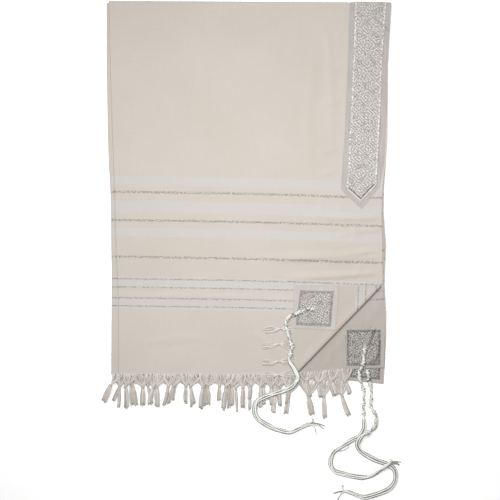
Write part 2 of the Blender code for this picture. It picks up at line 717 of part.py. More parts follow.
under_leaves()
second_leaf()
front_leaf()
turned_corner()
band_piece("neckband_ribbon", "ribbon_left", "ribbon_right", RIBBON_POINT, 3, GAP,
           RIBBON_COLOUR, 0.6)
band_piece("neckband_brocade", "brocade_left", "brocade_right", BROCADE_POINT, 3,
           2 * GAP + TRIM, BROCADE_COLOUR, 0.45)
for name, corners, cells, surface, lift, colour, roughness in (
        ("corner_ribbon_1", RIBBON_1, 10, turned_top, GAP, RIBBON_COLOUR, 0.6),
        ("corner_brocade_1", BROCADE_1, 8, turned_top, 2 * GAP + TRIM, BROCADE_COLOUR, 0.45),
        ("corner_ribbon_2", RIBBON_2, 4, second_top, GAP, RIBBON_COLOUR, 0.6),
        ("corner_brocade_2", BROCADE_2, 4, second_top, 2 * GAP + TRIM, BROCADE_COLOUR, 0.45),
        ("corner_ribbon_3", RIBBON_3, 2, third_floor, GAP, RIBBON_COLOUR, 0.6),
        ("corner_brocade_3", BROCADE_3, 2, third_floor, 2 * GAP + TRIM, BROCADE_COLOUR, 0.45)):
    patch(name, corners, cells, surface, lift, colour, roughness)
eyelet("eyelet_1", EYELET_1, turned_top)
eyelet("eyelet_2", EYELET_2, second_top)
fringe("fringe_front", FRONT_FRINGE, FRONT_FRINGE_LEVELS, False)
fringe("fringe_third", THIRD_FRINGE, THIRD_FRINGE_LEVELS, False)
fringe("fringe_second", SECOND_FRINGE, SECOND_FRINGE_LEVELS, False)
fringe("fringe_turned", TURNED_FRINGE, TURNED_FRINGE_LEVELS, True)
tassel("tzitzit_1", TASSEL_1)
tassel("tzitzit_2", TASSEL_2)
tassel("tzitzit_3", TASSEL_3)
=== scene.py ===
"""A folded wool tallit laid flat, seen from straight above.

Tables are in millimetres in the part's own frame: X right, Y towards the folded top
edge, Z up from the face that rests. Meshes are made in metres.
"""
import math
import random

import bmesh
import bpy
import numpy as np
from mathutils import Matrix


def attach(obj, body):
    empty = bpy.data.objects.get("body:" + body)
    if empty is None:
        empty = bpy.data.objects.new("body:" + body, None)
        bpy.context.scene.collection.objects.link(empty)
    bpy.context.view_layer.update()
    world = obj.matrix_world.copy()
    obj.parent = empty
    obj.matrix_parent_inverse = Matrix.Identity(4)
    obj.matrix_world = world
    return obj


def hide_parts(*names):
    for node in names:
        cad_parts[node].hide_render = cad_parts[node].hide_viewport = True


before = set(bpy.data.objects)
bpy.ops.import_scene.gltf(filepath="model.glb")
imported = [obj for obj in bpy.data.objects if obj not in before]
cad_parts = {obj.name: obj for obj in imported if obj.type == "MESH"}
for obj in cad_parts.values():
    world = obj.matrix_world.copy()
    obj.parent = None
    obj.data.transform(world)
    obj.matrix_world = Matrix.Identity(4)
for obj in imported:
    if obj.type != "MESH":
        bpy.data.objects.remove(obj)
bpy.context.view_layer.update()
MM = 0.001
PI = math.pi
UP = np.array((0.0, 0.0, 1.0))
SHARP_ANGLE = 1  # a shell's edge that turns more than this, in radians, shows sharp

# ---- levels, as in the part
LEAF, TRIM, GAP = 1.2, 1, 0.3
TRIM_STACK = 2 * (GAP + TRIM)
SECOND_TOP, FRONT_TOP, TURNED_TOP = 5.3, 6.8, 8.3
CLOTH = 0.8  # thickness of the woven sheet as it is shown
TOP_ROLL, LEFT_ROLL = FRONT_TOP / 2, 1.35
TOP_LINE = ((-335, 510.4), (355.2, 506.5))
TOP_TURN_END, TOP_TURN_SEAM = 4.9, 5.2
TOP_SHARE = 0.5  # of the trims' thickness, what sets the folded top edge back
LOWER_ROLL, LOWER_THICK = 1.85, 0.7  # fold and thickness of the two hidden leaves
LOWEST_SHORT = 1.6  # how much shorter the fourth leaf is
PATCH_SINK = 2.55  # how far the third leaf dips under its patch
FAR_WEAVE = 700  # shifts the weave on leaves other than the front one
BAND_CELL, PATCH_CELLS = 3, 40  # cell size on the neckband, cells along a patch's side
PATCH_HALF = 50  # about half a patch's side
FLOOR_HALF, VIEW_WIDTH = 6000, 1.225  # the floor in mm; the camera's view in metres

# y, left fold of the front pair, of the lower pair, right edges of three levels
EDGES = np.array((
    (510, -335, -341, 355.2, 352, 351), (354, -332, -341, 346, 344.5, 343.5),
    (268, -329, -339.5, 346, 345, 343.5), (175, -326, -338, 344.5, 343, 343.5),
    (109, -323.5, -335.5, 340.5, 339.5, 341.5), (48, -321, -332, 333.5, 335, 337),
    (-13, -319.5, -330.5, 331.5, 334.5, 337), (-87, -317.5, -330, 333, 339, 343),
    (-128, -316, -329, 333.5, 337.5, 341), (-185, -313, -328.5, 334.5, 336.5, 339),
    (-253, -311.5, -329, 334.5, 340.5, 343), (-324, -311, -329.5, 334.5, 340, 342.5),
    (-388, -311, -330, 334.5, 338, 339.5), (-430, -311, -330, 334.5, 337, 337),
))
FRONT_LEFT, UNDER_LEFT, FRONT_RIGHT, SECOND_RIGHT, UNDER_RIGHT = 1, 2, 3, 4, 5
FRONT_BOTTOM = np.array(((-311, -402.5), (120, -404)))
SECOND_BOTTOM = np.array(((-311, -400), (134.8, -400.3), (236.4, -390.5), (338.1, -386.9)))
UNDER_BOTTOM = np.array(((-330, -403), (95, -403), (337, -427.5)))

# y, ribbon left, brocade left, brocade right, ribbon right
BAND = np.array((
    (510, 253, 266.5, 343.5, 354), (354, 248.5, 260.5, 332.5, 345), (249, 244, 256, 329, 344),
    (195, 241.5, 253, 326.5, 341.5), (119, 236.5, 249.5, 322.5, 337.5), (62, 232.5, 245, 319.5, 327),
))
RIBBON_POINT = ((232, 48), (282.7, 0.5), (326, 56.5))
BROCADE_POINT = ((244.3, 50.5), (279.8, 18.6), (319.2, 60.3))
BAND_FOOT = 75

FOLD_UPPER, FOLD_LOWER = (334.4, -185.5), (124.2, -402.8)
CORNER_APEX = (116.6, -185.2)
CORNER_LEFT = np.array(((-402.8, 124.2), (-378.3, 118.3), (-292.5, 113.4), (-185.2, 116.6)))
FOLD_ROLL, FOLD_ROLL_END, FOLD_SLOPE = 1.9, 0.75, 26
FOLD_SET_BACK, FOLD_TAIL = 4.6, 4.3

# upper left, upper right, lower right, lower left
RIBBON_1 = ((118.5, -186.5), (227.1, -188.7), (219, -295), (114.4, -290.1))
BROCADE_1 = ((132.1, -197.5), (213.9, -199.4), (207, -285.7), (121.5, -281.8))
RIBBON_2 = ((242.5, -284), (339, -283), (336.8, -385.2), (237.2, -388.2))
BROCADE_2 = ((246.8, -294), (329, -294), (328, -380.4), (246.2, -381.5))
RIBBON_3 = ((249, -324), (339, -324), (335.4, -425.4), (249, -417))
BROCADE_3 = ((256, -335), (329.5, -335), (327, -416), (256, -410))
EYELET_1, EYELET_2 = (168.3, -242.6), (290.1, -336.9)

# ---- soft form of the laid cloth
# crest's middle x and y, direction in degrees, half length, half width, height
RIDGES = (
    (250, -110, 4, 150, 42, 0.9), (-60, 40, -8, 230, 60, 0.7), (60, 300, 22, 220, 60, 0.8),
    (-170, -250, 12, 170, 55, 0.7),
)
# from x, y to x, y, half width, height, sideways bow: creases of the front leaf
CREASES = (
    (328, -101, 10, -119, 7, 5.4, 6), (329, -118, 160, -131, 5, 3, -3),
    (328, -153, 71, -165, 6, 4.3, 4), (328, -20, 132, -13, 6, 3.6, 4), (326, -50, 215, -62, 5, 2.7, -2),
    (236, 352, 196, 338, 5, 2, 3), (232, 262, 176, 251, 5.5, 2.1, -3), (230, 214, 200, 221, 4, 1.5, 2),
    (224, 150, 168, 143, 5.5, 2.2, 3), (220, 96, 184, 82, 5, 1.8, -2),
    (240, 440, 214, 426, 4.5, 1.7, 2), (196, 452, 206, 120, 10, 1.5, 7),
    (164, 380, 158, 30, 12, 1.2, -8), (-120, 470, -96, 60, 16, 1.2, 10),
    (-262, 420, -250, -40, 14, 1, -8), (-230, -210, 60, -232, 12, 1.2, 9),
    (-255, -330, -60, -312, 9, 1, 6), (20, -300, 92, -352, 8, 1.4, -4), (222, 10, 238, -10, 5, 1.8, 1),
    (262, -168, 288, -134, 5, 1.6, 2), (262, -38, 268, -78, 6, 1.2, 2), (182, 26, 178, -20, 6, 1, 2),
)
# creases of the second leaf beyond the fold, of its patch, and of the neckband
SECOND_CREASES = (
    (318, -206, 311, -272, 5, 2.4, 3), (332, -196, 328, -262, 4, 1.8, -2),
    (303, -232, 299, -282, 4, 1.5, 2), (246, -300, 224, -352, 6, 1.6, -3),
    (210, -340, 196, -388, 6, 1.4, 2),
)
PATCH_CREASES = (
    (316, -286, 290, -340, 3.4, 6, 0), (325, -314, 303, -386, 4, 7, 5), (262, -300, 254, -372, 5, 1, 2),
    (258, -372, 300, -378, 5, 1, -2),
)
BAND_CREASES = (
    (342, 501, 284, 460, 4, 5, 2), (350, 436, 300, 474, 3.6, 4.2, 2), (342, 406, 296, 430, 4, 2.2, 2),
    (345, 300, 300, 322, 5, 1, -2), (262, 392, 300, 376, 5, 0.9, 2), (256, 190, 300, 214, 6, 0.9, 2),
    (318, 96, 276, 120, 5, 0.9, -2),
)

# distance from the fringed edge: middle and half width
WHITE_BANDS = (
    (473.8, 11.2), (410.7, 14.4), (348.2, 10.6), (227, 13.1), (198.4, 5.6), (172.1, 11.9), (2.2, 2.1),
)
LUREX_BANDS = (
    (446.4, 2.8), (377.5, 2.8), (287.6, 2.7), (234.2, 1.7), (213.9, 1.5), (187.4, 1.5), (167.8, 1.5),
)
# x, how far the stripes drop towards the right
STRIPE_DROP = np.array(((-320, 0), (-39, 4.4), (132, 8.8), (240, 13), (331, 15.4)))


def smooth(t):
    t = np.clip(t, 0, 1)
    return t * t * (3 - 2 * t)


def mix(a, b, t):
    return a + (b - a) * t


def unit(vectors):
    """The same directions at a length of one."""
    return vectors / np.maximum(np.linalg.norm(vectors, axis=-1, keepdims=True), 1e-9)


def join(*parts):
    """Coordinates side by side, as a line or a grid of points."""
    return np.stack(np.broadcast_arrays(*parts), axis=-1)


def above(line, lowest):
    """A line of points with none of them lower than lowest."""
    line[:, 2] = np.maximum(line[:, 2], lowest)
    return line


def distances(line):
    """How far along a line each of its points is."""
    return np.append(0, np.cumsum(np.linalg.norm(np.diff(line, axis=0), axis=1)))


def lookup(table, place):
    """A table's second column at a place in its first, which rises."""
    return np.interp(place, table[:, 0], table[:, 1])


def at_y(table, y, column):
    """A table's column at y; its rows fall in y."""
    return np.interp(y, table[::-1, 0], table[::-1, column])


def top_y(x):
    (x0, y0), (x1, y1) = TOP_LINE
    return y0 + (y1 - y0) * (x - x0) / (x1 - x0)


def relief(x, y):
    """Wide soft swells, faded out towards the folds and the fringed edge."""
    fade = smooth((440 - y) / 60) * smooth((x + 250) / 60) * smooth((y + 360) / 60)
    height = np.zeros_like(x + y)
    for mx, my, degrees, length, width, rise in RIDGES:
        c, s = math.cos(math.radians(degrees)), math.sin(math.radians(degrees))
        run, across = (x - mx) * c + (y - my) * s, (y - my) * c - (x - mx) * s
        height = height + rise * np.exp(-(run / length) ** 2 - (across / width) ** 2)
    return height * fade


def creases(x, y, table):
    """Listed creases: a ridge with a shallow trough along one flank."""
    height = np.zeros_like(x + y)
    for x0, y0, x1, y1, width, rise, bow in table:
        size = math.hypot(x1 - x0, y1 - y0)
        ux, uy = (x1 - x0) / size, (y1 - y0) / size
        run = ((x - x0) * ux + (y - y0) * uy) / size
        across = (y - y0) * ux - (x - x0) * uy - bow * np.sin(PI * np.clip(run, 0, 1))
        ends = smooth(run / 0.15) * smooth((1 - run) / 0.45)
        wide = width * (0.7 + 0.8 * np.clip(run, 0, 1))
        trough = 0.25 * np.exp(-((across + 1.8 * wide) / wide) ** 2)
        height = height + rise * ends * (np.exp(-(across / wide) ** 2) - trough)
    return height


# ---- mesh helpers

def add_mesh(name, points, faces, uv=None, shade=None, outward=False):
    """An object in metres from points in millimetres, with weave coordinates and a shade."""
    mesh = bpy.data.meshes.new(name)
    mesh.from_pydata((np.asarray(points, dtype=float) * MM).tolist(), [], faces)
    if outward:
        shape = bmesh.new()
        shape.from_mesh(mesh)
        bmesh.ops.recalc_face_normals(shape, faces=shape.faces)
        for edge in shape.edges:
            edge.smooth = edge.calc_face_angle(0) < SHARP_ANGLE
        shape.to_mesh(mesh)
        shape.free()
    mesh.polygons.foreach_set("use_smooth", [True] * len(mesh.polygons))
    if uv is not None:
        layer = mesh.uv_layers.new(name="weave")
        index = np.empty(len(mesh.loops), dtype=np.int32)
        mesh.loops.foreach_get("vertex_index", index)
        layer.data.foreach_set("uv", (np.asarray(uv) * MM)[index].ravel())
    if shade is not None:
        attribute = mesh.attributes.new("shade", "FLOAT", "POINT")
        attribute.data.foreach_set("value", np.asarray(shade, dtype=np.float32))
    mesh.update()
    thing = bpy.data.objects.new(name, mesh)
    bpy.context.scene.collection.objects.link(thing)
    return thing


def shell(name, outer, uv, inner, shade=None):
    """Closed thin wall between two grids of rows x columns x 3."""
    rows, columns = outer.shape[:2]
    points = np.concatenate((outer.reshape(-1, 3), inner.reshape(-1, 3)))
    if shade is not None:
        shade = np.tile(shade.ravel(), 2)
    index = np.arange(rows * columns).reshape(rows, columns)
    back = rows * columns
    front = join(index[:-1, :-1], index[:-1, 1:], index[1:, 1:], index[1:, :-1]).reshape(-1, 4)
    rim = np.concatenate((index[0, :], index[1:, -1], index[-1, -2::-1], index[-2:0:-1, 0]))
    after = np.roll(rim, -1)
    faces = np.concatenate((front, front[:, ::-1] + back, join(after, rim, rim + back, after + back)))
    return add_mesh(name, points, faces.tolist(), np.tile(uv.reshape(-1, 2), (2, 1)), shade,
                    outward=True)


class Threads:
    """Many tubes gathered into one mesh, each with its own shade."""

    def __init__(self):
        self.points, self.faces, self.shades, self.count = [], [], [], 0

    def tube(self, path, radius, sides, shade, ply=0, pitch=4):
        """One thread along a path; ply is the depth of its two twisted plies."""
        path = np.asarray(path, dtype=float)
        rings = len(path)
        tangent = unit(np.gradient(path, axis=0))
        side = np.cross(tangent, UP)
        upright = np.linalg.norm(side, axis=1) < 0.05
        side[upright] = (1, 0, 0)
        side = unit(side)
        up = np.cross(side, tangent)
        run = distances(path)
        phi = np.arange(sides) * 2 * PI / sides
        r = np.broadcast_to(np.asarray(radius, dtype=float), (rings,))[:, None]
        r = r * (1 + ply * np.cos(2 * (phi[None, :] - PI * run[:, None] / pitch)))
        ring = (path[:, None, :] + side[:, None, :] * (r * np.cos(phi))[..., None]
                + up[:, None, :] * (r * np.sin(phi))[..., None])
        self.points.append(ring.reshape(-1, 3))
        index = self.count + np.arange(rings * sides).reshape(rings, sides)
        turn = np.roll(index, -1, axis=1)
        quads = join(index[:-1], index[1:], turn[1:], turn[:-1])
        self.faces += quads.reshape(-1, 4).tolist()
        self.faces.append(index[0].tolist())
        self.faces.append(index[-1, ::-1].tolist())
        self.shades.append(np.full(rings * sides, shade))
        self.count += rings * sides

    def finish(self, name, material, slot, *nodes):
        piece = add_mesh(name, np.concatenate(self.points), self.faces,
                         shade=np.concatenate(self.shades))
        return dress(piece, material, slot, *nodes)


def smooth_path(points, step):
    """Points every step along a smooth curve through the given ones, and their distances."""
    p = np.asarray(points, dtype=float)
    ext = np.vstack((2 * p[0] - p[1], p, 2 * p[-1] - p[-2]))
    t = np.linspace(0, 1, 12, endpoint=False)[:, None]
    fine = []
    for k in range(len(p) - 1):
        a, b, c, d = ext[k:k + 4]
        fine.append(0.5 * (2 * b + (c - a) * t + (2 * a - 5 * b + 4 * c - d) * t ** 2
                           + (3 * b - a - 3 * c + d) * t ** 3))
    fine = np.vstack(fine + [p[-1:]])
    run = distances(fine)
    goal = np.linspace(0, run[-1], max(2, int(round(run[-1] / step)) + 1))
    return sample(fine, run, goal), goal


def sample(line, run, places):
    """A line's rows, given at distances in run, at other places along it."""
    return np.stack([np.interp(places, run, line[:, k]) for k in range(3)], axis=-1)


def curve(start, bend, end, t):
    """Points at t on a curve from start to end, pulled towards bend."""
    t = t[:, None]
    return (1 - t) ** 2 * start + 2 * t * (1 - t) * bend + t ** 2 * end


def loop(place, way, side, offset, size, slant, lowest, points=15):
    """One turn of thread round a bundle; size is its half width and half height."""
    a = np.linspace(0, 2 * PI, points)[:, None]
    ring = (place + way * offset + np.cos(a) * size[0] * side + np.sin(a) * size[1] * UP
            + np.cos(a) * slant * way)
    return above(ring, lowest)


# ---- materials

class Value:
    """A shader node's output; arithmetic on it adds math nodes."""

    def __init__(self, shader, socket):
        self.shader, self.socket = shader, socket

    def __add__(self, other):
        return self.shader.math("ADD", self, other)

    def __sub__(self, other):
        return self.shader.math("SUBTRACT", self, other)

    def __mul__(self, other):
        return self.shader.math("MULTIPLY", self, other)

    def __abs__(self):
        return self.shader.math("ABSOLUTE", self)


class Shader:
    """A principled material and the nodes that feed it."""

    def __init__(self, name, roughness, **sockets):
        self.material = bpy.data.materials.new(name)
        self.material.use_nodes = True
        self.tree = self.material.node_tree
        self.bsdf = self.tree.nodes["Principled BSDF"].inputs
        self.bsdf["Roughness"].default_value = roughness
        for socket, value in sockets.items():
            self.bsdf[socket.replace("_", " ")].default_value = value

    def put(self, socket, value):
        if isinstance(value, Value):
            self.tree.links.new(value.socket, socket)
        else:
            socket.default_value = value

    def node(self, kind, inputs=(), output=0, **settings):
        node = self.tree.nodes.new(kind)
        for key, value in settings.items():
            setattr(node, key, value)
        for key, value in dict(inputs).items():
            self.put(node.inputs[key], value)
        return Value(self, node.outputs[output])

    def math(self, operation, *values):
        return self.node("ShaderNodeMath", enumerate(values), operation=operation)

    def wave(self, value, period):
        return self.math("SINE", value * (2 * PI / period))

    def weave(self):
        """The cloth's own coordinates, together and one by one, in metres."""
        uv = self.node("ShaderNodeUVMap", uv_map="weave")
        parts = self.tree.nodes.new("ShaderNodeSeparateXYZ")
        self.put(parts.inputs[0], uv)
        return uv, Value(self, parts.outputs[0]), Value(self, parts.outputs[1])

    def shade(self):
        return self.node("ShaderNodeAttribute", output="Fac", attribute_name="shade")

    def noise(self, vector, scale, detail=2, stretch=(1, 1, 1), rough=0.5):
        place = self.node("ShaderNodeMapping", {"Vector": vector, "Scale": stretch})
        return self.node("ShaderNodeTexNoise", {"Vector": place, "Scale": scale, "Detail": detail,
                                                "Roughness": rough}, "Fac")

    def remap(self, value, low, high, to_low=0, to_high=1, kind="LINEAR"):
        return self.node("ShaderNodeMapRange", enumerate((value, low, high, to_low, to_high)),
                         interpolation_type=kind)

    def blend(self, factor, a, b, kind="MIX"):
        return self.node("ShaderNodeMix", {0: factor, 6: a, 7: b}, 2, data_type="RGBA",
                         blend_type=kind)

    def tint(self, colour, other, value, low, high, least=0, most=1, kind="LINEAR"):
        """A colour that turns into another as a value goes from low to high."""
        return self.blend(self.remap(value, low, high, least, most, kind), colour, other)

    def toned(self, colour, tone, blue=1):
        if tone == 1:
            return colour
        return self.blend(1, colour, (tone, tone, blue * tone, 1), "MULTIPLY")

    def bump(self, height, strength, distance, normal=None):
        inputs = {"Height": height, "Strength": strength, "Distance": distance}
        if normal is not None:
            inputs["Normal"] = normal
        return self.node("ShaderNodeBump", inputs)

    def finish(self, colour, **others):
        self.put(self.bsdf["Base Color"], colour)
        for name, value in others.items():
            self.put(self.bsdf[name.capitalize()], value)
        return self.material


def srgb(r, g, b):
    def linear(c):
        c /= 255
        return c / 12.92 if c <= 0.04045 else ((c + 0.055) / 1.055) ** 2.4
    return (linear(r), linear(g), linear(b), 1)


BEIGE, BEIGE_DARK, SLUB = srgb(183, 176, 169), srgb(178, 171, 162), srgb(150, 138, 122)
WHITE = srgb(181, 176, 174)
LUREX_DARK, LUREX_LIGHT = srgb(131, 128, 121), srgb(181, 178, 171)
# brown-grey of the painted shadow along the turned corner's slanting fold
FOLD_PAINTED_SHADOW = srgb(88, 78, 66)
RIBBON_DARK, RIBBON_LIGHT, RIBBON_CLOUD = srgb(156, 150, 148), srgb(168, 163, 161), srgb(150, 143, 139)
# light silver flecks in the figure and white specks on the edge rows: painted glints of the metal
# thread
SILVER_PAINTED_GLINT, EDGE_PAINTED_GLINT = srgb(220, 217, 213), srgb(236, 234, 230)
SPECK_LIGHT, SPECK_DARK = srgb(206, 202, 197), srgb(70, 66, 62)
POINT_LIGHT, POINT_DARK = srgb(196, 192, 188), srgb(78, 73, 69)
POINT_MARK = 10  # added to a brocade's edge distance along its pointed end
THREAD_PITCH, CHAIN_PITCH = 0.0011, 0.0088


def cloth_material(name, tone=1, painted_fold_shadow=False):
    """Plain weave with white stripes and wavy lurex lines across it."""
    s = Shader(name, 0.92, Sheen_Weight=0.12, Sheen_Roughness=0.45, Specular_IOR_Level=0.2)
    uv, u, v = s.weave()
    line = v + (s.noise(uv, 90, 3, (1, 0.15, 1)) - 0.5) * 0.0022
    sway = s.math("SINE", u * (2 * PI / CHAIN_PITCH) + s.noise(uv, 60, 1) * 5)
    chain = line + sway * 0.0008

    def bands(table, place, soft):
        total = None
        for middle, half in table:
            off = abs(place - middle * MM)
            inside = s.remap(off, (half + soft) * MM, (half - soft) * MM)
            total = inside if total is None else total + inside
        return total

    white, lurex = bands(WHITE_BANDS, line, 1.8), bands(LUREX_BANDS, chain, 0.5)
    slubs = s.noise(uv, 320, 2, (1, 0.06, 1)) + s.noise(uv, 320, 2, (0.06, 1, 1))
    slub = s.remap(slubs, 0.7, 1.3)
    colour = s.tint(BEIGE_DARK, BEIGE, s.noise(uv, 5, 4), 0.3, 0.7)
    colour = s.blend(white, colour, WHITE)
    colour = s.tint(colour, SLUB, slub, 0, 1, 0.10, 0)
    fleck = s.noise(uv, 330, 2, (0.7, 1, 1))
    colour = s.blend(lurex, colour, s.tint(LUREX_DARK, LUREX_LIGHT, fleck, 0.44, 0.62))
    weave = s.wave(u, THREAD_PITCH) * s.wave(v, THREAD_PITCH) + slub * 1.4
    normal = s.bump(weave, 0.22, 0.0002)
    normal = s.bump(s.noise(uv, 14, 4, (1, 0.7, 1)), 0.30, 0.0035, normal)
    colour = s.toned(colour, tone)
    # painted shadow along the slanting fold: a soft darkening over the roll and a dark line at its
    # edge, where the roll shades the leaf beneath
    if painted_fold_shadow:
        from_fold = s.shade()
        colour = s.tint(colour, FOLD_PAINTED_SHADOW, from_fold, 0.95, 0.25, 0, 0.28, "SMOOTHSTEP")
        colour = s.tint(colour, FOLD_PAINTED_SHADOW, from_fold, 0.34, 0.16, 0, 0.85, "SMOOTHSTEP")
    return s.finish(colour, normal=normal, roughness=s.remap(lurex, 0, 1, 0.92, 0.6),
                    metallic=lurex * 0.12)


def ribbon_material(name, tone=1):
    s = Shader(name, 0.62, Sheen_Weight=0.1, Specular_IOR_Level=0.35)
    uv, _, v = s.weave()
    streak = s.noise(uv, 260, 2, (1, 0.05, 1))
    cloud = s.noise(uv, 22, 3)
    colour = s.tint(RIBBON_DARK, RIBBON_LIGHT, streak, 0.3, 0.7)
    colour = s.tint(colour, RIBBON_CLOUD, cloud, 0.35, 0.65, 0, 0.35)
    normal = s.bump(s.wave(v, 0.0012) + streak * 1.5, 0.25, 0.0002)
    normal = s.bump(cloud, 0.25, 0.002, normal)
    return s.finish(s.toned(colour, tone, 0.97), normal=normal)


def brocade_material(name, silver, ground, cell, border_line, painted_edge_glint, speckle, tone=1):
    """Slanting meander of silver thread: nested squares set on their corners, broken into keys.

    The shade attribute is the distance from the nearest edge, in centimetres, with POINT_MARK
    added along the pointed end, where a dark line runs inside a light border.
    """
    s = Shader(name, 0.5, Sheen_Weight=0.05, Specular_IOR_Level=0.45)
    uv, u, v = s.weave()
    edge = s.shade()
    a = s.math("DIVIDE", u + v, cell * 1.4142)
    b = s.math("DIVIDE", u - v, cell * 1.4142)
    across, along = s.math("FRACT", a) - 0.5, s.math("FRACT", b) - 0.5
    parity = s.math("MODULO", abs(s.math("FLOOR", a) + s.math("FLOOR", b)), 2)
    ring = s.math("MAXIMUM", abs(across), abs(along))
    half = s.math("GREATER_THAN", across * s.remap(parity, 0, 1, -1, 1), 0)
    saw = s.math("PINGPONG", ring * 5 + half * 0.5, 0.5)
    breaks = s.noise(uv, 210, 2)
    figure = (s.remap(saw, 0.18, 0.30, kind="SMOOTHSTEP")
              * s.remap(breaks, 0.36, 0.52, 0.25, 1))
    fleck = s.noise(uv, 420, 2)
    patchy = s.noise(uv, 60, 2)
    # the figure's own silver, broken by painted glints in flecks
    light = s.tint(silver, SILVER_PAINTED_GLINT, fleck, 0.45, 0.62)
    dull = s.tint(ground, silver, fleck, 0.40, 0.62)
    colour = s.blend(figure, dull, light)
    colour = s.tint(colour, ground, patchy, 0.54, 0.66, 0, 0.45)
    if speckle:
        grain = s.noise(uv, 300, 1, rough=0.4)
        colour = s.tint(colour, SPECK_LIGHT, grain, 0.52, 0.60, 0, speckle)
        colour = s.tint(colour, SPECK_DARK, grain, 0.47, 0.40, 0, speckle)
    line = (s.remap(edge, 0.75, 0.35, kind="SMOOTHSTEP")
            * s.remap(breaks, 0.40, 0.58, 0.1, 1))
    colour = s.blend(line * border_line, colour, ground)
    point = (s.math("COMPARE", edge, POINT_MARK + 0.62, 0.17)
             * s.remap(breaks, 0.36, 0.50, 0.35, 1))
    colour = s.blend(point * 0.85, colour, POINT_DARK)
    colour = s.blend(s.math("COMPARE", edge, POINT_MARK + 0.22, 0.2) * 0.6, colour, POINT_LIGHT)
    # white specks along the rows near the edge: painted glints of the silver border
    rows = s.math("COMPARE", edge, 0.30, 0.17) * s.remap(s.noise(uv, 190, 1), 0.50, 0.58)
    colour = s.blend(rows * painted_edge_glint, colour, EDGE_PAINTED_GLINT)
    normal = s.bump(figure * 1.6 + s.wave(u, 0.0009) * 0.4, 0.5, 0.0005)
    normal = s.bump(patchy, 0.3, 0.0015, normal)
    return s.finish(s.toned(colour, tone), normal=normal,
                    roughness=s.remap(figure, 0, 1, 0.65, 0.42), metallic=figure * 0.15)


def thread_material(name, low, high, roughness, twist):
    """Yarn whose shade differs from strand to strand."""
    s = Shader(name, roughness, Sheen_Weight=0.2, Sheen_Roughness=0.5, Specular_IOR_Level=0.25)
    colour = s.blend(s.shade(), low, high)
    fine = s.noise(s.node("ShaderNodeTexCoord", output="Object"), twist, 2)
    hollow = tuple(0.62 * c for c in low[:3]) + (1,)
    colour = s.tint(colour, hollow, fine, 0.35, 0.65, 0, 0.22)
    return s.finish(colour, normal=s.bump(fine, 0.5, 0.0006))


CLOTH_MATERIAL = cloth_material("wool_weave")
# darker copies of the one wool by tone: painted shade on the second leaf (0.80), the lower leaves
# (0.97) and the turned corner (0.92)
SECOND_CLOTH_PAINTED_SHADE = cloth_material("wool_weave_second_painted_shade", 0.80)
SHADED_CLOTH = cloth_material("wool_weave_lower_painted_shade", 0.97)
TURNED_CLOTH_PAINTED_SHADE = cloth_material("wool_weave_turned_painted_shade", 0.92, painted_fold_shadow=True)
RIBBON_MATERIAL = ribbon_material("satin_ribbon")
PATCH_RIBBON = ribbon_material("satin_ribbon_patch", 1.14)
# darker copy of the satin by tone 0.96: painted shade on the patches of the second and lower leaves
LOWER_RIBBON_PAINTED_SHADE = ribbon_material("satin_ribbon_lower_painted_shade", 0.96)
BROCADE_MATERIAL = brocade_material(
    "silver_brocade", srgb(180, 175, 171), srgb(128, 123, 118), cell=0.0300, border_line=0,
    painted_edge_glint=0.7, speckle=0.2)
PATCH_MATERIAL = brocade_material(
    "silver_brocade_patch", srgb(168, 163, 159), srgb(110, 106, 101), cell=0.0240,
    border_line=0.75, painted_edge_glint=0, speckle=0.28)
# copy of the patch brocade darkened by tone 0.80: painted shade on the patches of the second and lower
# leaves
LOWER_PATCH_PAINTED_SHADE = brocade_material(
    "silver_brocade_lower_painted_shade", srgb(168, 164, 159), srgb(88, 84, 80), cell=0.0240,
    border_line=0.85, painted_edge_glint=0, speckle=0.48, tone=0.80)
FRINGE_MATERIAL = thread_material("fringe_yarn", srgb(168, 160, 152), srgb(206, 200, 194),
                                  roughness=0.9, twist=900)
WHITE_MATERIAL = thread_material("white_thread", srgb(134, 136, 128), srgb(228, 230, 224),
                                 roughness=0.8, twist=600)
TAN_MATERIAL = thread_material("tan_thread", srgb(108, 86, 40), srgb(156, 126, 66),
                               roughness=0.7, twist=900)
STITCH_MATERIAL = thread_material("stitch_thread", srgb(176, 170, 165), srgb(204, 200, 195),
                                  roughness=0.7, twist=1500)


def dress(piece, material, slot, *nodes):
    """Gives a piece its material, parents it to the root body and hides the CAD nodes it stands for;
    slot is not used.
    """
    piece.data.materials.clear()
    piece.data.materials.append(material)
    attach(piece, "root")
    if nodes:
        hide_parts(*nodes)
    return piece


# ---- the cloth

def weave_v(x, y):
    """Distance from the fringed edge along the cloth, stripes dropping to the right."""
    share = (0.45 + 0.55 * smooth((y + 403) / 170)) * smooth((y + 403) / 60)
    return y + lookup(STRIPE_DROP, x) * share + 402.8


def front_right(y):
    """Right edge of the front leaf: its own above the slanting fold, the fold's below."""
    (x0, y0), (x1, y1) = FOLD_UPPER, FOLD_LOWER
    set_back = FOLD_SET_BACK * math.hypot(x1 - x0, y1 - y0) / abs(y1 - y0)
    fold_x = x0 + (x1 - x0) * (y - y0) / (y1 - y0) - set_back
    edge = at_y(EDGES, y, FRONT_RIGHT)
    return np.where(y > y0, edge, np.minimum(edge, fold_x))


def front_height(x, y):
    """Top of the front leaf; its creases fade out at the folds and the fringed edge."""
    free = smooth((y + 402) / 30) * smooth((x + 318) / 30) * smooth((500 - y) / 30)
    return FRONT_TOP + relief(x, y) + creases(x, y, CREASES) * free


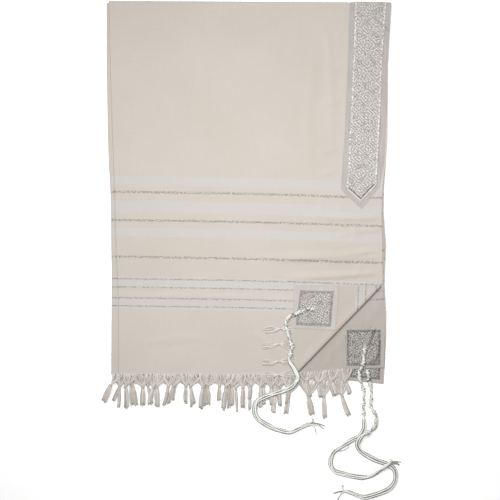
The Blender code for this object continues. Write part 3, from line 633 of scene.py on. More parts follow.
def front_cloth():
    """Front leaf with the long fold at its left and the folded top edge."""
    lip = 8  # columns round the long fold
    across = np.append(np.linspace(0, 0.8432, 112), np.linspace(0.8497, 1, 20))
    turn = np.append(np.linspace(PI, 0, lip + 1)[:-1], np.zeros(len(across)))
    share = np.append(np.zeros(lip), across)
    top_turn = np.append(PI, np.linspace(PI, 0, 13))[:, None]
    ys = np.append(np.linspace(498, -185.5, 134), np.linspace(-190, -402.5, 44))[:, None]

    def section(y, thick):
        left = at_y(EDGES, y, FRONT_LEFT) + LEFT_ROLL
        roll = LEFT_ROLL - thick
        x = left + (front_right(y) - left) * share - roll * np.sin(turn)
        return x, LEFT_ROLL - roll * np.cos(turn)

    def grid(thick):
        x, depth = section(EDGES[0, 0], thick)
        under_trims = TRIM_STACK * np.clip((x - BAND[0, 1] + 6) / 4.5, 0, 1)
        radius = TOP_ROLL - under_trims / 2
        y = top_y(x) - TOP_SHARE * under_trims - radius + (radius - depth) * np.sin(top_turn)
        y[0] = top_y(x) - TOP_TURN_END
        top = join(x, y, FRONT_TOP - radius + (radius - depth) * np.cos(top_turn))
        x, depth = section(ys, thick)
        y = ys + (lookup(FRONT_BOTTOM, x) + 402.5) * smooth((-300 - ys) / 100)
        x = np.minimum(x, front_right(y))
        return np.concatenate((top, join(x, y, front_height(x, y) - depth)))

    outer, inner = grid(0), grid(CLOTH)
    turn_rows = len(top_turn)
    u = outer[..., 0].copy()
    u[:, :lip] = u[:, lip:lip + 1] - np.linspace(4, 0.5, lip)[None, :]
    v = weave_v(outer[..., 0], outer[..., 1])
    v[:turn_rows] = v[turn_rows] + np.linspace(18, 1, turn_rows)[:, None]
    piece = shell("front_cloth", outer, join(u, v), inner)
    return dress(piece, CLOTH_MATERIAL, "wool_cloth", "front_leaf")


def second_cloth():
    """Second leaf, a flat sheet under the front one."""
    b, a = np.meshgrid(np.linspace(0, 1, 150), np.linspace(0, 1, 120), indexing="ij")
    guess = mix(at_y(EDGES, -400, FRONT_LEFT), at_y(EDGES, -400, SECOND_RIGHT), a)
    low = lookup(SECOND_BOTTOM, guess)
    y = mix(top_y(guess) - TOP_TURN_SEAM, low, b)
    x = mix(at_y(EDGES, y, FRONT_LEFT) + LEFT_ROLL + GAP, at_y(EDGES, y, SECOND_RIGHT), a)
    edge_wave = 0.2 * np.sin(y / 17) * smooth((x - 325) / 15)
    outer = join(x, y, second_height(x, y) + edge_wave)
    piece = shell("second_cloth", outer, join(x + FAR_WEAVE, y - low), outer - CLOTH * UP)
    return dress(piece, SECOND_CLOTH_PAINTED_SHADE, "wool_cloth", "second_leaf")


def second_height(x, y):
    return SECOND_TOP + relief(x, y) + creases(x, y, SECOND_CREASES)


def lower_cloth():
    """Third and fourth leaves, one sheet with its fold on the left."""
    leaf, fold = 110, 9
    share = np.concatenate((np.linspace(1, 0, leaf), np.zeros(fold),
                            np.linspace(0, 1, leaf)))
    turn = np.concatenate((np.zeros(leaf), np.linspace(0, PI, fold + 2)[1:-1],
                           np.full(leaf, PI)))
    short = np.concatenate((np.zeros(leaf), np.linspace(0, LOWEST_SHORT, fold),
                            np.full(leaf, LOWEST_SHORT)))
    upper, lower = turn == 0, turn == PI
    guess = np.where(upper | lower, mix(-328, 337, share), -330)
    down = np.linspace(0, 1, 160)[:, None]
    y = mix(top_y(guess) - TOP_TURN_SEAM, lookup(UNDER_BOTTOM, guess) + short, down)
    left = at_y(EDGES, y, UNDER_LEFT) + LOWER_ROLL
    right = at_y(EDGES, y, UNDER_RIGHT) - np.where(upper, 0, 1.5)
    x = mix(left, right, share) - LOWER_ROLL * np.sin(turn)
    under_patch = smooth((x - 243) / 6) * smooth((-315 - y) / 6)
    under_band = smooth((x - at_y(BAND, y, 1) + 7) / 5) * smooth((y + 4) / 5)
    z = (LOWER_ROLL + LOWER_ROLL * np.cos(turn)
         + np.where(upper, 0.2 * under_band - PATCH_SINK * under_patch, 0)
         + np.where(lower, TRIM_STACK * under_band, 0))
    outer = join(x, y, z)
    into = join(np.sin(turn), 0, -np.cos(turn))  # from the outside into the cloth
    u = np.where(lower, 2 * FAR_WEAVE - x, x)
    uv = join(u, y + 403 + 5 * smooth((x + 320) / 600))
    piece = shell("lower_cloth", outer, uv, outer + LOWER_THICK * into)
    return dress(piece, SHADED_CLOTH, "wool_cloth", "under_leaves")


# ---- turned corner

def fold_profile(width, spread):
    """Middle line of the roll: distance behind the outside of the fold, and height."""
    radius = mix(FOLD_ROLL_END, FOLD_ROLL, float(smooth(width / 45)))
    middle = FRONT_TOP - LEAF / 2
    centre = radius + LEAF / 2
    line = [(max(FOLD_TAIL, centre + 0.2), middle)]
    for a in np.linspace(-PI / 2, PI / 2, 13):
        line.append((centre - radius * math.cos(a), middle + radius + radius * math.sin(a)))
    slope = min(FOLD_SLOPE, 0.7 * (width - centre))
    flat = TURNED_TOP - LEAF / 2
    for t in np.linspace(0.08, 1, 12):
        line.append((centre + slope * t, mix(middle + 2 * radius, flat, float(smooth(t)))))
    for t in np.linspace(0, 1, spread + 1)[1:]:
        line.append((mix(centre + slope, width, t), flat))
    return np.array(line)


def turned_cloth():
    """The corner turned back over the slanting fold, in strips square to the fold."""
    shares = np.concatenate((np.linspace(0.015, 0.5, 56), np.linspace(0.5, 0.985, 56)[1:]))
    upper, lower, apex = np.array(FOLD_UPPER), np.array(FOLD_LOWER), np.array(CORNER_APEX)
    grids = ([], [])
    uvs, from_fold = [], []
    for t in shares:
        fold = mix(upper, lower, t)
        if t <= 0.5:
            far = mix(upper, apex, 2 * t)
        else:
            y = mix(apex[1], lower[1], 2 * t - 1)
            far = np.array((lookup(CORNER_LEFT, y), y))
        width = float(np.linalg.norm(far - fold))
        way = (far - fold) / width
        line = fold_profile(width, 34)
        d = unit(np.gradient(line, axis=0))
        for grid, side in zip(grids, (0.5, -0.5)):
            q = line[:, 0] - side * CLOTH * d[:, 1]
            z = line[:, 1] + side * CLOTH * d[:, 0] + (LEAF - CLOTH) / 2
            x, y = fold[0] + way[0] * q, fold[1] + way[1] * q
            grid.append(join(x, y, z + relief(x, y)))
        x, y = grids[0][-1][:, 0], grids[0][-1][:, 1]
        uvs.append(join(y + FAR_WEAVE, (x - lookup(CORNER_LEFT, y)) * 1.06))
        # distance behind the outside of the fold, in cm, from which the material paints the fold's
        # shadow
        from_fold.append(line[:, 0] / 10)
    piece = shell("turned_cloth", np.array(grids[0]), np.array(uvs), np.array(grids[1]),
                  np.array(from_fold))
    return dress(piece, TURNED_CLOTH_PAINTED_SHADE, "wool_cloth", "turned_corner")


def turned_top(x, y):
    """Top of the turned corner, which swells towards the slanting fold."""
    (x0, y0), (x1, y1) = FOLD_UPPER, FOLD_LOWER
    behind = np.abs((x - x0) * (y1 - y0) - (y - y0) * (x1 - x0)) / math.hypot(x1 - x0, y1 - y0)
    falling = 1 - smooth((behind - FOLD_ROLL - LEAF / 2) / FOLD_SLOPE)
    return TURNED_TOP + 2 * (FOLD_ROLL - FOLD_ROLL_END) * falling + relief(x, y)


# ---- neckband and patches

def band_grid(left, right, point, off):
    """Neckband from its front point, over the folded top edge, to its point underneath."""
    tip = (point[1][0] - point[0][0]) / (point[2][0] - point[0][0])
    across = int(100 / BAND_CELL)
    shares = np.unique(np.concatenate((np.linspace(0, tip, int(across * tip)),
                                       np.linspace(tip, 1, int(across * (1 - tip))))))
    end_y = np.interp(shares, (0, tip, 1), [p[1] for p in point])
    end_x = mix(point[0][0], point[2][0], shares)

    def place(y):
        return mix(at_y(BAND, y, left), at_y(BAND, y, right), shares)

    blend = np.linspace(0, 1, int(60 / BAND_CELL))[:-1, None]
    ys = np.arange(BAND_FOOT, 496, BAND_CELL)[:, None]
    x = np.vstack((mix(end_x, place(BAND_FOOT), blend), place(ys)))
    y = np.vstack((mix(end_y, BAND_FOOT, blend), ys + 0 * shares))
    front = join(x, y, FRONT_TOP + off + relief(x, y) + creases(x, y, BAND_CREASES))
    back = join(x, y, TRIM_STACK - off)[::-1]
    edge_x = place(BAND[0, 0])
    radius = TOP_ROLL - TRIM_STACK / 2
    middle = top_y(edge_x) - TOP_SHARE * TRIM_STACK - radius
    a = np.linspace(0, PI, 17)[:, None]
    turn = join(edge_x, middle + (radius + off) * np.sin(a),
                FRONT_TOP - radius + (radius + off) * np.cos(a))
    return np.concatenate((front, turn, back))


def band_uv(grid):
    """Weave coordinates that run along the strip, over its fold."""
    run = np.cumsum(np.linalg.norm(np.diff(grid, axis=0), axis=2), axis=0)
    along = np.concatenate((np.zeros((1, grid.shape[1])), run)) + grid[0, :, 1][None, :]
    return join(grid[..., 0], along)


def neckband():
    """Ribbon and brocade; the brocade's shade is its distance from the nearest edge."""
    ribbon, under = (band_grid(1, 4, RIBBON_POINT, GAP + rise) for rise in (0.7, 0))
    piece = shell("neckband_ribbon_strip", ribbon, band_uv(ribbon), under)
    dress(piece, RIBBON_MATERIAL, "ribbon", "neckband_ribbon")
    cloth, below = (band_grid(2, 3, BROCADE_POINT, 2 * GAP + rise) for rise in (1.7, 0.8))
    edge = np.minimum(np.linalg.norm(cloth - cloth[:, :1], axis=2),
                      np.linalg.norm(cloth - cloth[:, -1:], axis=2))
    tip = np.abs(cloth[..., 1] - cloth[:1, :, 1]) * 0.72 + 60 * (cloth[..., 2] < FRONT_TOP)
    top = shell("neckband_brocade_strip", cloth, band_uv(cloth), below,
                np.where(tip < edge, tip / 10 + POINT_MARK, edge / 10))
    dress(top, BROCADE_MATERIAL, "brocade", "neckband_brocade")
    return piece, top


def patch(name, corners, surface, low, material, slot, node):
    """A square trim laid on a surface, 0.8 mm thick, its underside low above it."""
    share = np.linspace(0, 1, PATCH_CELLS)
    b, a = np.meshgrid(share, share, indexing="ij")
    ul, ur, lr, ll = corners
    x = mix(mix(ul[0], ur[0], a), mix(ll[0], lr[0], a), b)
    y = mix(mix(ul[1], ur[1], a), mix(ll[1], lr[1], a), b)
    outer, inner = (join(x, y, surface(x, y) + off) for off in (GAP + low + 0.8, GAP + low))
    edge = np.minimum(share, 1 - share) * math.dist(ul, lr) / 14
    piece = shell(name, outer, outer[..., :2], inner, np.minimum(edge[None, :], edge[:, None]))
    return dress(piece, material, slot, node)


def second_top(x, y):
    """The second leaf under its patch, creased with it."""
    return second_height(x, y) + creases(x, y, PATCH_CREASES)


def third_floor(x, y):
    return np.full_like(x + y, LEAF)


FRONT, SECOND, LOWER, TURNED = front_cloth(), second_cloth(), lower_cloth(), turned_cloth()
BAND_RIBBON, BAND_BROCADE = neckband()
for number, ribbon, brocade, surface, below, ribbon_look, brocade_look in (
        (1, RIBBON_1, BROCADE_1, turned_top, TURNED, PATCH_RIBBON, PATCH_MATERIAL),
        (2, RIBBON_2, BROCADE_2, second_top, SECOND, LOWER_RIBBON_PAINTED_SHADE, LOWER_PATCH_PAINTED_SHADE),
        (3, RIBBON_3, BROCADE_3, third_floor, LOWER, LOWER_RIBBON_PAINTED_SHADE, LOWER_PATCH_PAINTED_SHADE)):
    for kind, corners, low, look in (("ribbon", ribbon, -0.1, ribbon_look),
                                     ("brocade", brocade, 0.8, brocade_look)):
        piece = patch(f"patch_{kind}_{number}", corners, surface, low, look, kind,
                      f"corner_{kind}_{number}")
        [round(math.dist(corners[0], corners[k]) * MM, 3) for k in (1, 3)]
        below = piece


# ---- fringes
# root from and to, knot x and y, tip x and y, width at the tip, layer
FRONT_TASSELS = (
    (-339.3, -311.2, -330.8, -429.7, -347.9, -470.2, 13.5, 3),
    (-313.6, -292.8, -307.5, -431, -324.6, -467.7, 8.6, 3),
    (-294, -272, -294, -432.2, -292.8, -484.9, 11, 3),
    (-273.2, -237.7, -252.4, -434.6, -253.1, -480, 12.2, 3),
    (-237.7, -218.1, -226.6, -435.9, -236.4, -477.5, 11, 3),
    (-220.5, -199.7, -218.1, -433.4, -218.1, -482.4, 12.2, 3),
    (-200.9, -176.4, -189.9, -432.2, -201.4, -480, 8.6, 3),
    (-178.9, -156.8, -177.6, -432.2, -189.9, -475.1, 8.6, 3),
    (-158, -137.2, -147, -432.2, -148.2, -473.8, 9.8, 3),
    (-138.4, -115.2, -135.2, -432.2, -126.2, -476.3, 8.6, 3),
    (-116.4, -95.6, -105.4, -434.6, -110.7, -487.3, 11, 3),
    (-98, -73.5, -94.3, -433.4, -91.9, -477.5, 9.8, 3),
    (-76, -51.5, -64.9, -432.2, -66.9, -467.7, 9.8, 3),
    (-53.9, -34.3, -49, -434.6, -55.1, -489.8, 11, 3),
    (-36.8, -14.7, -34.3, -432.2, -34.3, -478.7, 9.8, 3),
    (-17.2, 4.9, -7.4, -434.6, -7.4, -485.1, 11, 3), (2.5, 27, 12.2, -431, 8.6, -462.8, 9.8, 3),
    (24.5, 49, 35.5, -433.4, 35, -482.4, 9.8, 3), (46.6, 71.1, 61.3, -434.6, 62.5, -476.3, 9.8, 3),
    (68.6, 93.1, 79.6, -434.6, 83.3, -480, 9.8, 3), (90.7, 112.7, 102.9, -439.5, 99.2, -476.3, 9.8, 3),
    (-328.3, -298.9, -309.9, -433.4, -311.9, -483.6, 7.8, 1),
    (-294, -259.7, -279.3, -431, -273.2, -480, 17.2, 1),
    (-259.7, -230.3, -240.1, -429.7, -230.3, -473.8, 8.6, 1),
    (-191.1, -161.7, -171.5, -429.7, -178.9, -466.5, 7.4, 1),
    (-147, -122.5, -134.8, -432.2, -134, -483.6, 6.9, 1),
    (-112.7, -83.3, -101.7, -432.2, -99.7, -480, 8.6, 1),
    (-58.8, -29.4, -41.7, -432.2, -42.4, -484.9, 8.6, 1),
    (-34.3, -4.9, -24.5, -437.1, -22.1, -493.4, 6.1, 1), (-4.9, 24.5, 7.4, -434.6, 8.6, -491, 7.4, 1),
    (29.4, 58.8, 44.1, -432.2, 44.8, -477.5, 7.4, 1), (53.9, 93.1, 71.1, -453, 66.2, -497.1, 12.2, 1),
)
SECOND_TASSELS = (
    (134.8, 161.7, 147, -420.4, 155.6, -456.7, 13.5, 2),
    (161.7, 194.3, 177.9, -424.8, 182.5, -459.1, 11, 2),
    (194.3, 225.9, 208.7, -420.4, 219.3, -455.5, 14.7, 2),
    (225.9, 252.4, 241.8, -422.1, 253.6, -450.6, 11, 2),
)
THIRD_TASSELS = (
    (98, 132.3, 105.6, -452.3, 98, -499.6, 11, 1), (133.5, 174, 152.9, -458.4, 160.7, -503, 14.7, 1),
    (174, 205.8, 190.9, -458.4, 192.6, -509.8, 12.2, 1),
    (208.3, 249.9, 234.7, -455.7, 251.9, -504.7, 11, 1),
)
# the turned corner's roots run down its left edge
TURNED_TASSELS = (
    (-275.4, -309.7, 87.2, -290.8, 39.4, -295.7, 11, 4),
    (-309.7, -348.9, 82.1, -328.5, 41.2, -333.4, 11, 4),
    (-348.9, -385.6, 82.1, -370.9, 39.4, -374.4, 11, 4), (-385.6, -415, 80.6, -404, 42.9, -404, 9.8, 4),
)
YARN = 1.2  # radius of a fringe yarn
FAN_SPREAD = 8.5  # how far neighbouring fans cross at the root
# heights of a unit's roots, knot and tip, by its layer in the stack
LAYER_HEIGHTS = {1: (2.6, 2.6, 1.4), 2: (4.9, 5.6, 4.6), 3: (6.3, 5.4, 3.4), 4: (7.9, 9.4, 8.6)}


def knot_rings(threads, place, way, size, shade, rng):
    """Three tight turns of yarn across a bundle."""
    side = unit(np.cross(way, UP))
    for turn, slant in ((-1.6, 0.45), (0.1, -0.5), (1.7, 0.35)):
        ring = loop(place, way, side, turn, (size, 0.7 * size), slant * size, 1.3, 13)
        threads.tube(ring, 1.15, 6, shade + rng.uniform(-0.2, 0.2))


def tassel_bundle(threads, knot, tip, width, rng):
    """Loose yarns from a knot to a tip, in two layers."""
    side = unit(np.cross(tip - knot, UP))
    steps = np.linspace(0, 1, 10)
    bow = rng.uniform(-1.3, 1.3)
    width = 1.15 * width
    count = max(4, int(round(width / 2.2)))
    for layer, extra in ((0, 0), (1, 0.5)):
        for k in range(count - layer):
            spread = (k + 0.5 + extra) / count - 0.5 + rng.uniform(-0.03, 0.03)
            reach = 1 + rng.uniform(-0.10, 0.05)
            open_out = 0.48 + 0.52 * smooth(steps * reach / 0.45)
            lift = (0.9 if layer else -0.9) + rng.uniform(-0.3, 0.3)
            wave = 0.5 * np.sin(steps * rng.uniform(4, 9) + rng.uniform(0, 6))
            aside = spread * (width - YARN) * open_out + wave * steps + bow * np.sin(PI * steps)
            path = knot + np.outer(steps * reach, tip - knot) + np.outer(aside, side)
            path[:, 2] = np.maximum(path[:, 2] + lift * smooth(steps * 3), YARN + 0.15)
            threads.tube(path, YARN * (1 - 0.2 * steps ** 6), 7, rng.uniform(0, 1),
                         ply=0.2, pitch=5)


def fringe_unit(threads, first, last, knot, tip, width, rng):
    """A fan of warp ends drawn into a knot, and the tassel below it."""
    count = max(5, int(np.linalg.norm(last - first) / 2.3))
    steps = np.linspace(0, 1, 8)
    along = unit(last - first)
    down = np.cross(UP, along)
    if np.dot(down, knot - first) < 0:
        down = -down
    drop = abs(np.dot(knot - first, down))
    for k in range(count):
        share = (k + 0.5) / count + rng.uniform(-0.15, 0.15) / count
        start = first + (last - first) * share
        leave = start + down * 0.44 * drop
        start = start + along * rng.uniform(-6, 6)
        path = curve(start, leave, knot + along * (0.5 - share) * 3, steps)
        path[:, 2] += (0.7 if k % 2 else -0.4) * np.sin(PI * steps)
        path[0] -= down * 1.2
        threads.tube(path, YARN, 6, rng.uniform(0.1, 1), ply=0.15, pitch=5)
    knot_rings(threads, knot, unit(tip - knot), 2 + 0.09 * width, 0.45, rng)
    tassel_bundle(threads, knot, tip, width, rng)


def loose_unit(threads, first, last, knot, tip, width, rng):
    """An open unit of the turned edge: a few long threads, a small knot and parted ends."""
    steps = np.linspace(0, 1, 10)
    for k in range(8):
        share = (k + 0.5) / 8 + rng.uniform(-0.04, 0.04)
        start = first + (last - first) * share + np.array((1.2, 0, 0))
        end = knot + np.array((0, (0.5 - share) * 3, 0))
        path = curve(start, start - np.array((5, 0, 0)), end, steps)
        threads.tube(path, 0.85, 6, rng.uniform(0.85, 1.1), ply=0.15, pitch=4)
    way = unit(tip - knot)
    side = np.array((way[1], -way[0], 0))
    knot_rings(threads, knot, way, 1.7, 0.8, rng)
    for k in range(6):
        spread = ((k + 0.5) / 6 - 0.5) * (width + 5)
        reach = 1 + rng.uniform(-0.22, 0.06)
        wave = rng.uniform(0.5, 1.1) * np.sin(steps * rng.uniform(5, 8) + rng.uniform(0, 6))
        path = knot + np.outer(steps * reach, tip - knot) + np.outer(
            spread * smooth(steps / 0.6) + wave * steps, side)
        path[:, 2] += 0.3 * (k % 2)
        threads.tube(path, 1, 6, rng.uniform(0.85, 1.15), ply=0.2, pitch=4)


def fringes():
    """One piece of yarn for each leaf's fringe, and one for the turned corner's."""
    rng = random.Random(11)
    made = []
    for name, table, edge, first, last in (
            ("front", FRONT_TASSELS, FRONT_BOTTOM, -327, 128),
            ("second", SECOND_TASSELS, SECOND_BOTTOM, 128, 262),
            ("third", THIRD_TASSELS, UNDER_BOTTOM, 100, 254),
            ("turned", TURNED_TASSELS, CORNER_LEFT, None, None)):
        threads = Threads()
        for a, b, knot_x, knot_y, tip_x, tip_y, width, layer in table:
            root_z, knot_z, tip_z = LAYER_HEIGHTS[layer]
            if name == "turned":
                roots = [np.array((lookup(edge, y), y, root_z)) for y in (a, b)]
                unit_of = loose_unit
            else:
                a, b = max(a - FAN_SPREAD, first), min(b + FAN_SPREAD, last)
                roots = [np.array((x, lookup(edge, x), root_z)) for x in (a, b)]
                unit_of = fringe_unit
            unit_of(threads, *roots, np.array((knot_x, knot_y, knot_z)),
                    np.array((tip_x, tip_y, tip_z)), width, rng)
        made.append(threads.finish(f"{name}_fringe_yarn", FRINGE_MATERIAL, "fringe_yarn",
                                   f"fringe_{name}"))
    return made


# ---- corner tassels

# x, y, height of the middle line
TASSEL_1 = (
    (168.3, -242.6, 11.5), (161.5, -242.6, 12.6), (147, -242.8, 13), (132, -249.6, 13),
    (116, -257.5, 12.4), (103.6, -262.5, 11.4), (97, -279.3, 11.4), (101.9, -298.9, 11.4),
    (105, -312.1, 11.4), (111.7, -331.7, 11.6), (108.5, -351.3, 11.6), (105.1, -367.7, 11.6),
    (118.3, -390.8, 11.6), (126.4, -410, 11), (121, -421.6, 10.2), (109.8, -433.7, 8.6),
    (84.8, -444.9, 7.4), (59.8, -452.5, 7), (41.2, -459.9, 7), (26, -469.9, 6.8),
    (21.6, -482.4, 6.4), (21.6, -497.6, 5.4), (29.9, -512.5, 3.9), (41.2, -521.1, 3.6),
    (59.8, -531.2, 3.6), (79.9, -538.8, 3.6), (104.9, -543.7, 3.6), (128.6, -535.1, 3.6),
    (151.2, -526.3, 3.6),
)
TASSEL_2 = (
    (290.1, -336.9, 9), (288.9, -343.9, 10.2), (287.4, -363.6, 10.6), (284.2, -380.7, 10.6),
    (279.3, -390, 10.2), (276, -403.3, 8.4), (279.5, -419.2, 7.6), (285, -434, 4.8),
    (288.5, -447.1, 3.7), (288, -463, 3.6), (287, -477, 3.6), (287, -497.8, 3.6),
    (289, -518, 3.6), (290, -532, 3.6), (285, -546, 3.6), (274.9, -556.2, 3.6),
    (251.6, -568.2, 3.6), (228.1, -582.1, 3.6), (212.7, -594.6, 3.6), (207, -610.3, 3.6),
    (207, -625.7, 3.6), (215.6, -639.9, 3.6), (234.5, -646.1, 3.6), (259.5, -652.4, 3.6),
    (283, -655.6, 3.6), (303.1, -652.4, 3.6), (317.3, -642.9, 5.2), (331.2, -633.6, 8.6),
    (345.5, -622.8, 11.4),
)
TASSEL_3 = (
    (294.6, -391.5, 4.6), (297.5, -399.5, 6.8), (299, -410, 7), (301.5, -421, 6.4),
    (305, -434, 4.2), (306.5, -447, 3.6), (305.5, -463, 3.6), (305, -476.6, 3.6),
    (310, -490, 3.6), (315, -500.8, 3.8), (317, -517.9, 5.6), (312.6, -530.4, 8.4),
    (300.1, -541.4, 11), (284, -551.5, 11.8), (275, -563, 10.4), (273, -577, 6.6),
    (281.3, -591.4, 3.8), (297, -602.5, 3.6), (318.7, -613.5, 3.6), (337.6, -620.3, 3.6),
    (353.3, -627.4, 3.6), (364.1, -638.5, 3.6), (366.5, -653.9, 3.6), (362.6, -669.6, 3.6),
    (350.1, -683.6, 3.6), (329.8, -693.1, 3.6), (306.2, -701, 3.6), (287.6, -704.1, 3.6),
    (268.8, -697.8, 3.6), (251.6, -691.4, 3.6),
)
# far ends of the splayed strands, x and y
ENDS_1 = ((161.7, -510.1), (187.2, -532.4), (172.2, -546.4))
ENDS_2 = ((354.3, -607.4), (374, -619.9))
ENDS_3 = ((236, -674.2), (213.2, -694.3), (226.6, -708.8))
# strands that stray beside a bundle, x and y
STRAYS = {
    1: (((73.5, -453), (63.7, -459.6), (53.9, -464.5), (44.1, -466.5), (31.9, -460.4)),),
    2: (((251.6, -573.8), (250.4, -581.6), (240.6, -588.2), (223.4, -591.4), (213.2, -586.5)),),
    3: (((297.7, -480.8), (319.3, -498.6), (323, -519.6), (317.2, -536.1), (290.8, -553.8)),),
}
TAN_MARKS = {1: (21, 55), 2: (44,), 3: (27,)}  # where tan thread turns round a bundle
WOUND = 168  # wound and knotted length
WRAP_PITCH = 19  # the winding's advance in one turn
KNOTS = (6, 40, 74, 108, 142, 166)
STRAND = 1.2  # radius of one strand
# sideways places of the strands in a loose bundle's upper and lower layer
UPPER_LANES, LOWER_LANES = (-2.7, 2.9, 2.4, -2.9), (-5.1, 0.2, 5.1, -0.3)
LANE_LIMIT, LAYER_HEIGHT = 5.1, 1.5
STATION = 42  # distance between the places where a strand may change its lane
STRANDS = 8
HEM = (62, 500)  # lowest and highest y of the stitches along the neckband


def laid_strands(path, run, tangent, side, up, ends, rng):
    """Eight strands twisted under the winding and loose after it, each with its parted tail."""
    loose = smooth((run - WOUND) / 22)
    length = run[-1]
    narrow = 1 - 0.35 * smooth((run - length + 45) / 45)
    stations = np.arange(0, length + 80, STATION)
    for k in range(STRANDS):
        swing = run / 60 * 2 * PI + 2 * PI * k / STRANDS
        table, level = (LOWER_LANES, -LAYER_HEIGHT) if k % 2 else (UPPER_LANES, LAYER_HEIGHT)
        lanes = [table[(k // 2 + rng.choice((0, 0, 1, 3)) * (m % 2)) % 4]
                 for m in range(len(stations))]
        layers = [level * rng.uniform(0.7, 1) for _ in stations]
        slip = rng.uniform(-14, 14)
        lane = np.interp(run + slip, stations, lanes)
        lane = np.convolve(np.pad(lane, 7, mode="edge"), np.full(15, 1 / 15), mode="valid")
        lane = np.clip(lane + 0.5 * np.sin(run / 9 + 2.1 * k), -LANE_LIMIT, LANE_LIMIT)
        lateral = mix(1.3 * np.cos(swing), lane, loose) * narrow
        height = mix(1.2 * np.sin(swing), np.interp(run + slip, stations, layers), loose)
        line = above(path + side * lateral[:, None] + up * height[:, None], STRAND + 0.25)
        goal = ends[k % len(ends)]
        target = np.array((goal[0] + rng.uniform(-4, 4), goal[1] + rng.uniform(-4, 4),
                           STRAND + 0.3 + 0.9 * (k // len(ends))))
        start = line[-1]
        bend = start + tangent[-1] * rng.uniform(14, 22)
        t = np.linspace(0, 1, 14)[1:]
        whip = curve(start, bend, target, t)
        fall = (start[2], 0.45 * start[2] + 0.55 * target[2], target[2])
        whip[:, 2] = np.maximum(np.interp(t, (0, 0.5, 1), fall), STRAND + 0.25)
        # strands of the lower layer are coloured dark, and so are their tails: painted shade between
        # the bright upper strands
        shade = (0.95, 0.1)[k % 2] + rng.uniform(-0.1, 0.1)
        yield line, np.vstack((line[-1:], whip)), shade


def corner_tassel(number, route, ends):
    """Eight twisted strands: wound and double-knotted for the first third, loose after it."""
    rng = random.Random(40 + number)
    path, run = smooth_path(route, 2)
    tangent = unit(np.gradient(path, axis=0))
    side = unit(np.cross(tangent, UP))
    up = np.cross(side, tangent)
    body, tails, marks = Threads(), Threads(), Threads()
    for line, tail, shade in laid_strands(path, run, tangent, side, up, ends, rng):
        body.tube(line, STRAND, 8, shade, ply=0.26, pitch=6.5)
        tails.tube(tail, np.linspace(STRAND, 0.8 * STRAND, len(tail)), 7, shade, ply=0.2,
                   pitch=5)
        turn = np.linspace(0, 2 * PI, 9)
        bead = tail[-1] + join(1.1 * np.cos(turn), 1.1 * np.sin(turn), 0)
        tails.tube(bead, 0.55, 5, shade)
    spots = np.linspace(4, WOUND, int(WOUND * 5))
    centre, spot_side, spot_up = (sample(part, run, spots) for part in (path, side, up))
    swell = np.interp(spots, run, sum(np.exp(-((run - k) / 4) ** 2) for k in KNOTS))
    size = (2.5 + 1.3 * swell + 0.2 * np.sin(spots / 2.3))[:, None]
    # the second of the three windings is coloured dark: painted shade between the bright ones
    for lag, shade in ((0, 1), (2 * PI / 3, 0.15), (4 * PI / 3, 0.8)):
        turn = spots / WRAP_PITCH * 2 * PI + lag + 1.6 * np.sin(spots / 17 + number)
        turn = turn[:, None]
        wrap = centre + spot_side * size * np.cos(turn) + spot_up * size * 0.85 * np.sin(turn)
        body.tube(above(wrap, STRAND + 0.2), 1.25, 6, shade, ply=0.15, pitch=5)
    for k in KNOTS:
        place, way, out = (sample(part, run, k) for part in (path, tangent, side))
        for offset, slant, shade in ((-2, 2.4, 0.9), (2, -2.4, 1), (0, 0.6, 0.3)):
            body.tube(loop(place, way, out, offset, (4.6, 3.6), slant, 1.5), 1.3, 7, shade)
    for stray in STRAYS[number]:
        line, _ = smooth_path([p + (STRAND + 0.4,) for p in stray], 2)
        tails.tube(line, STRAND, 7, 0.6, ply=0.2, pitch=5)
    for k in TAN_MARKS[number]:
        place, way, out = (sample(part, run, k) for part in (path, tangent, side))
        for offset in (-1.1, 1.1):
            ring = loop(place, way, out, offset, (4.7, 3.9), 2.6, 1.2)
            marks.tube(ring, 0.75, 6, rng.uniform(0, 1))
    strands = body.finish(f"tzitzit_{number}_strands", WHITE_MATERIAL, "white_thread",
                          f"tzitzit_{number}")
    others = [tails.finish(f"tzitzit_{number}_ends", WHITE_MATERIAL, "white_thread"),
              marks.finish(f"tzitzit_{number}_tan_turns", TAN_MATERIAL, "white_thread")]
    [c * MM for c in route[0]]


# ---- stitches

def stitch_line(threads, points, rng, spacing=3.4, size=2, radius=0.24):
    """Short stitches along a line, their ends dipped into the cloth."""
    path, run = smooth_path(points, 0.8)
    for start in np.arange(1, run[-1] - size, spacing):
        dash = sample(path, run, np.linspace(start, start + size, 4))
        dash[:, 2] += np.array((-0.12, 0.12, 0.12, -0.12))
        threads.tube(dash, radius, 4, rng.uniform(0.2, 0.9))


def square_line(corners, surface, off, inset):
    """Closed line inside a patch's edge."""
    corners = np.array(corners, dtype=float)
    middle = np.mean(corners, axis=0)
    steps = np.linspace(0, 1, 9)[:-1, None]
    line = np.vstack([a + (b - a) * steps for a, b in zip(corners, np.roll(corners, -1, axis=0))])
    line = middle + (np.vstack((line, line[:1])) - middle) * (1 - inset / PATCH_HALF)
    return np.column_stack((line, surface(line[:, 0], line[:, 1]) + off))


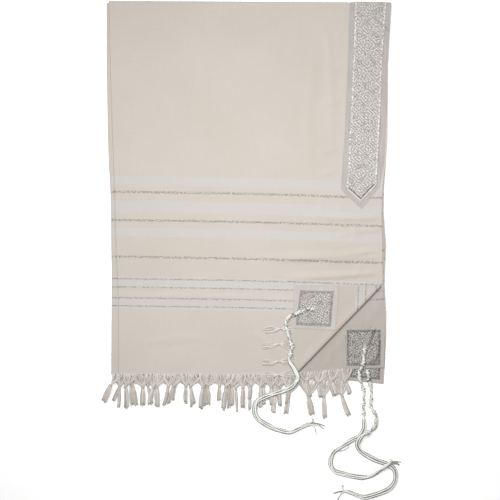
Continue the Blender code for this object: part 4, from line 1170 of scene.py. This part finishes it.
def stitches():
    """Rows along both edges of the neckband's strips, front and back, and round the patches."""
    rng = random.Random(5)
    threads = Threads()
    ribbon_off, brocade_off = GAP + 0.72, 2 * GAP + 1.72
    for side, inset, off, point in ((1, 2, ribbon_off, RIBBON_POINT),
                                    (4, -2, ribbon_off, RIBBON_POINT),
                                    (2, 1.6, brocade_off, BROCADE_POINT),
                                    (3, -1.6, brocade_off, BROCADE_POINT)):
        ys = np.arange(*HEM, 6)
        shoulder = point[0] if side < 3 else point[2]
        x = np.concatenate(((point[1][0], shoulder[0] + inset), at_y(BAND, ys, side) + inset))
        y = np.concatenate(((point[1][1] + abs(inset) * 1.6, shoulder[1] + 2), ys))
        places = np.linspace(0, len(x) - 1, 6 * len(x))
        x, y = (np.interp(places, np.arange(len(line)), line) for line in (x, y))
        z = FRONT_TOP + off + relief(x, y) + creases(x, y, BAND_CREASES)
        stitch_line(threads, join(x, y, z)[::3], rng)
        stitch_line(threads, join(x, y, TRIM_STACK - off)[::3], rng)
    for ribbon, brocade, surface in ((RIBBON_1, BROCADE_1, turned_top),
                                     (RIBBON_2, BROCADE_2, second_top)):
        stitch_line(threads, square_line(ribbon, surface, GAP + 0.74, 2), rng)
        stitch_line(threads, square_line(brocade, surface, GAP + 1.66, 1.6), rng)
    return threads.finish("trim_stitches", STITCH_MATERIAL, "white_thread")


def eyelet(number, middle, surface):
    """Buttonhole stitches round the hole."""
    rng = random.Random(70 + number)
    threads = Threads()
    z = float(surface(np.array(middle[0]), np.array(middle[1]))) + GAP + 1.7
    t = np.linspace(-0.2 * PI, 1.2 * PI, 7)
    out = 3.1 - 1.2 * np.cos(t)
    for k in range(40):
        a = 2 * PI * k / 40
        path = join(middle[0] + out * math.cos(a), middle[1] + out * math.sin(a),
                    z + 0.55 * np.sin(t))
        threads.tube(path, 0.27, 5, rng.uniform(0.3, 1))
    threads.finish(f"eyelet_{number}_stitches", STITCH_MATERIAL, "white_thread", f"eyelet_{number}")


FRONT_YARN, SECOND_YARN, THIRD_YARN, TURNED_YARN = fringes()
corner_tassel(1, TASSEL_1, ENDS_1)
corner_tassel(2, TASSEL_2, ENDS_2)
corner_tassel(3, TASSEL_3, ENDS_3)
TRIM_STITCHES = stitches()
eyelet(1, EYELET_1, turned_top)
eyelet(2, EYELET_2, second_top)


# ---- stage

def place_thing(name, data, location=(0, 0, 0), tilt=(0, 0)):
    """A lamp or camera; its tilt about X and Y is in degrees."""
    thing = bpy.data.objects.new(name, data)
    thing.location = location
    thing.rotation_euler = (math.radians(tilt[0]), math.radians(tilt[1]), 0)
    bpy.context.scene.collection.objects.link(thing)
    return thing


def stage():
    """White floor, a soft lamp overhead, a low sun from the upper left, and the camera."""
    corners = ((-1, -1), (1, -1), (1, 1), (-1, 1))
    floor = add_mesh("floor", [(FLOOR_HALF * x, FLOOR_HALF * y, -0.3) for x, y in corners],
                     [(0, 1, 2, 3)])
    white = Shader("floor_white", 0.95, Specular_IOR_Level=0)
    floor.data.materials.append(white.finish((0.96, 0.96, 0.96, 1)))
    lamp = bpy.data.lights.new("key", "AREA")
    lamp.shape, lamp.size, lamp.energy = "DISK", 0.8, 18.8
    place_thing("key", lamp, (0.04, 0.06, 1.3))
    sun = bpy.data.lights.new("side", "SUN")
    sun.energy, sun.angle = 1.25, math.radians(14)
    place_thing("side", sun, tilt=(-32, -36))
    world = bpy.data.worlds.new("soft")
    world.use_nodes = True
    sky = world.node_tree.nodes["Background"].inputs
    sky["Color"].default_value, sky["Strength"].default_value = (1, 1, 1, 1), 0.28
    bpy.context.scene.world = world
    camera = bpy.data.cameras.new("camera")
    camera.lens, camera.sensor_width, camera.clip_end = 85, 36, 50
    height = VIEW_WIDTH * camera.lens / camera.sensor_width
    bpy.context.scene.camera = place_thing("camera", camera, (0.0098, -0.099, height))
    bpy.context.scene.view_settings.view_transform = "Standard"


stage()
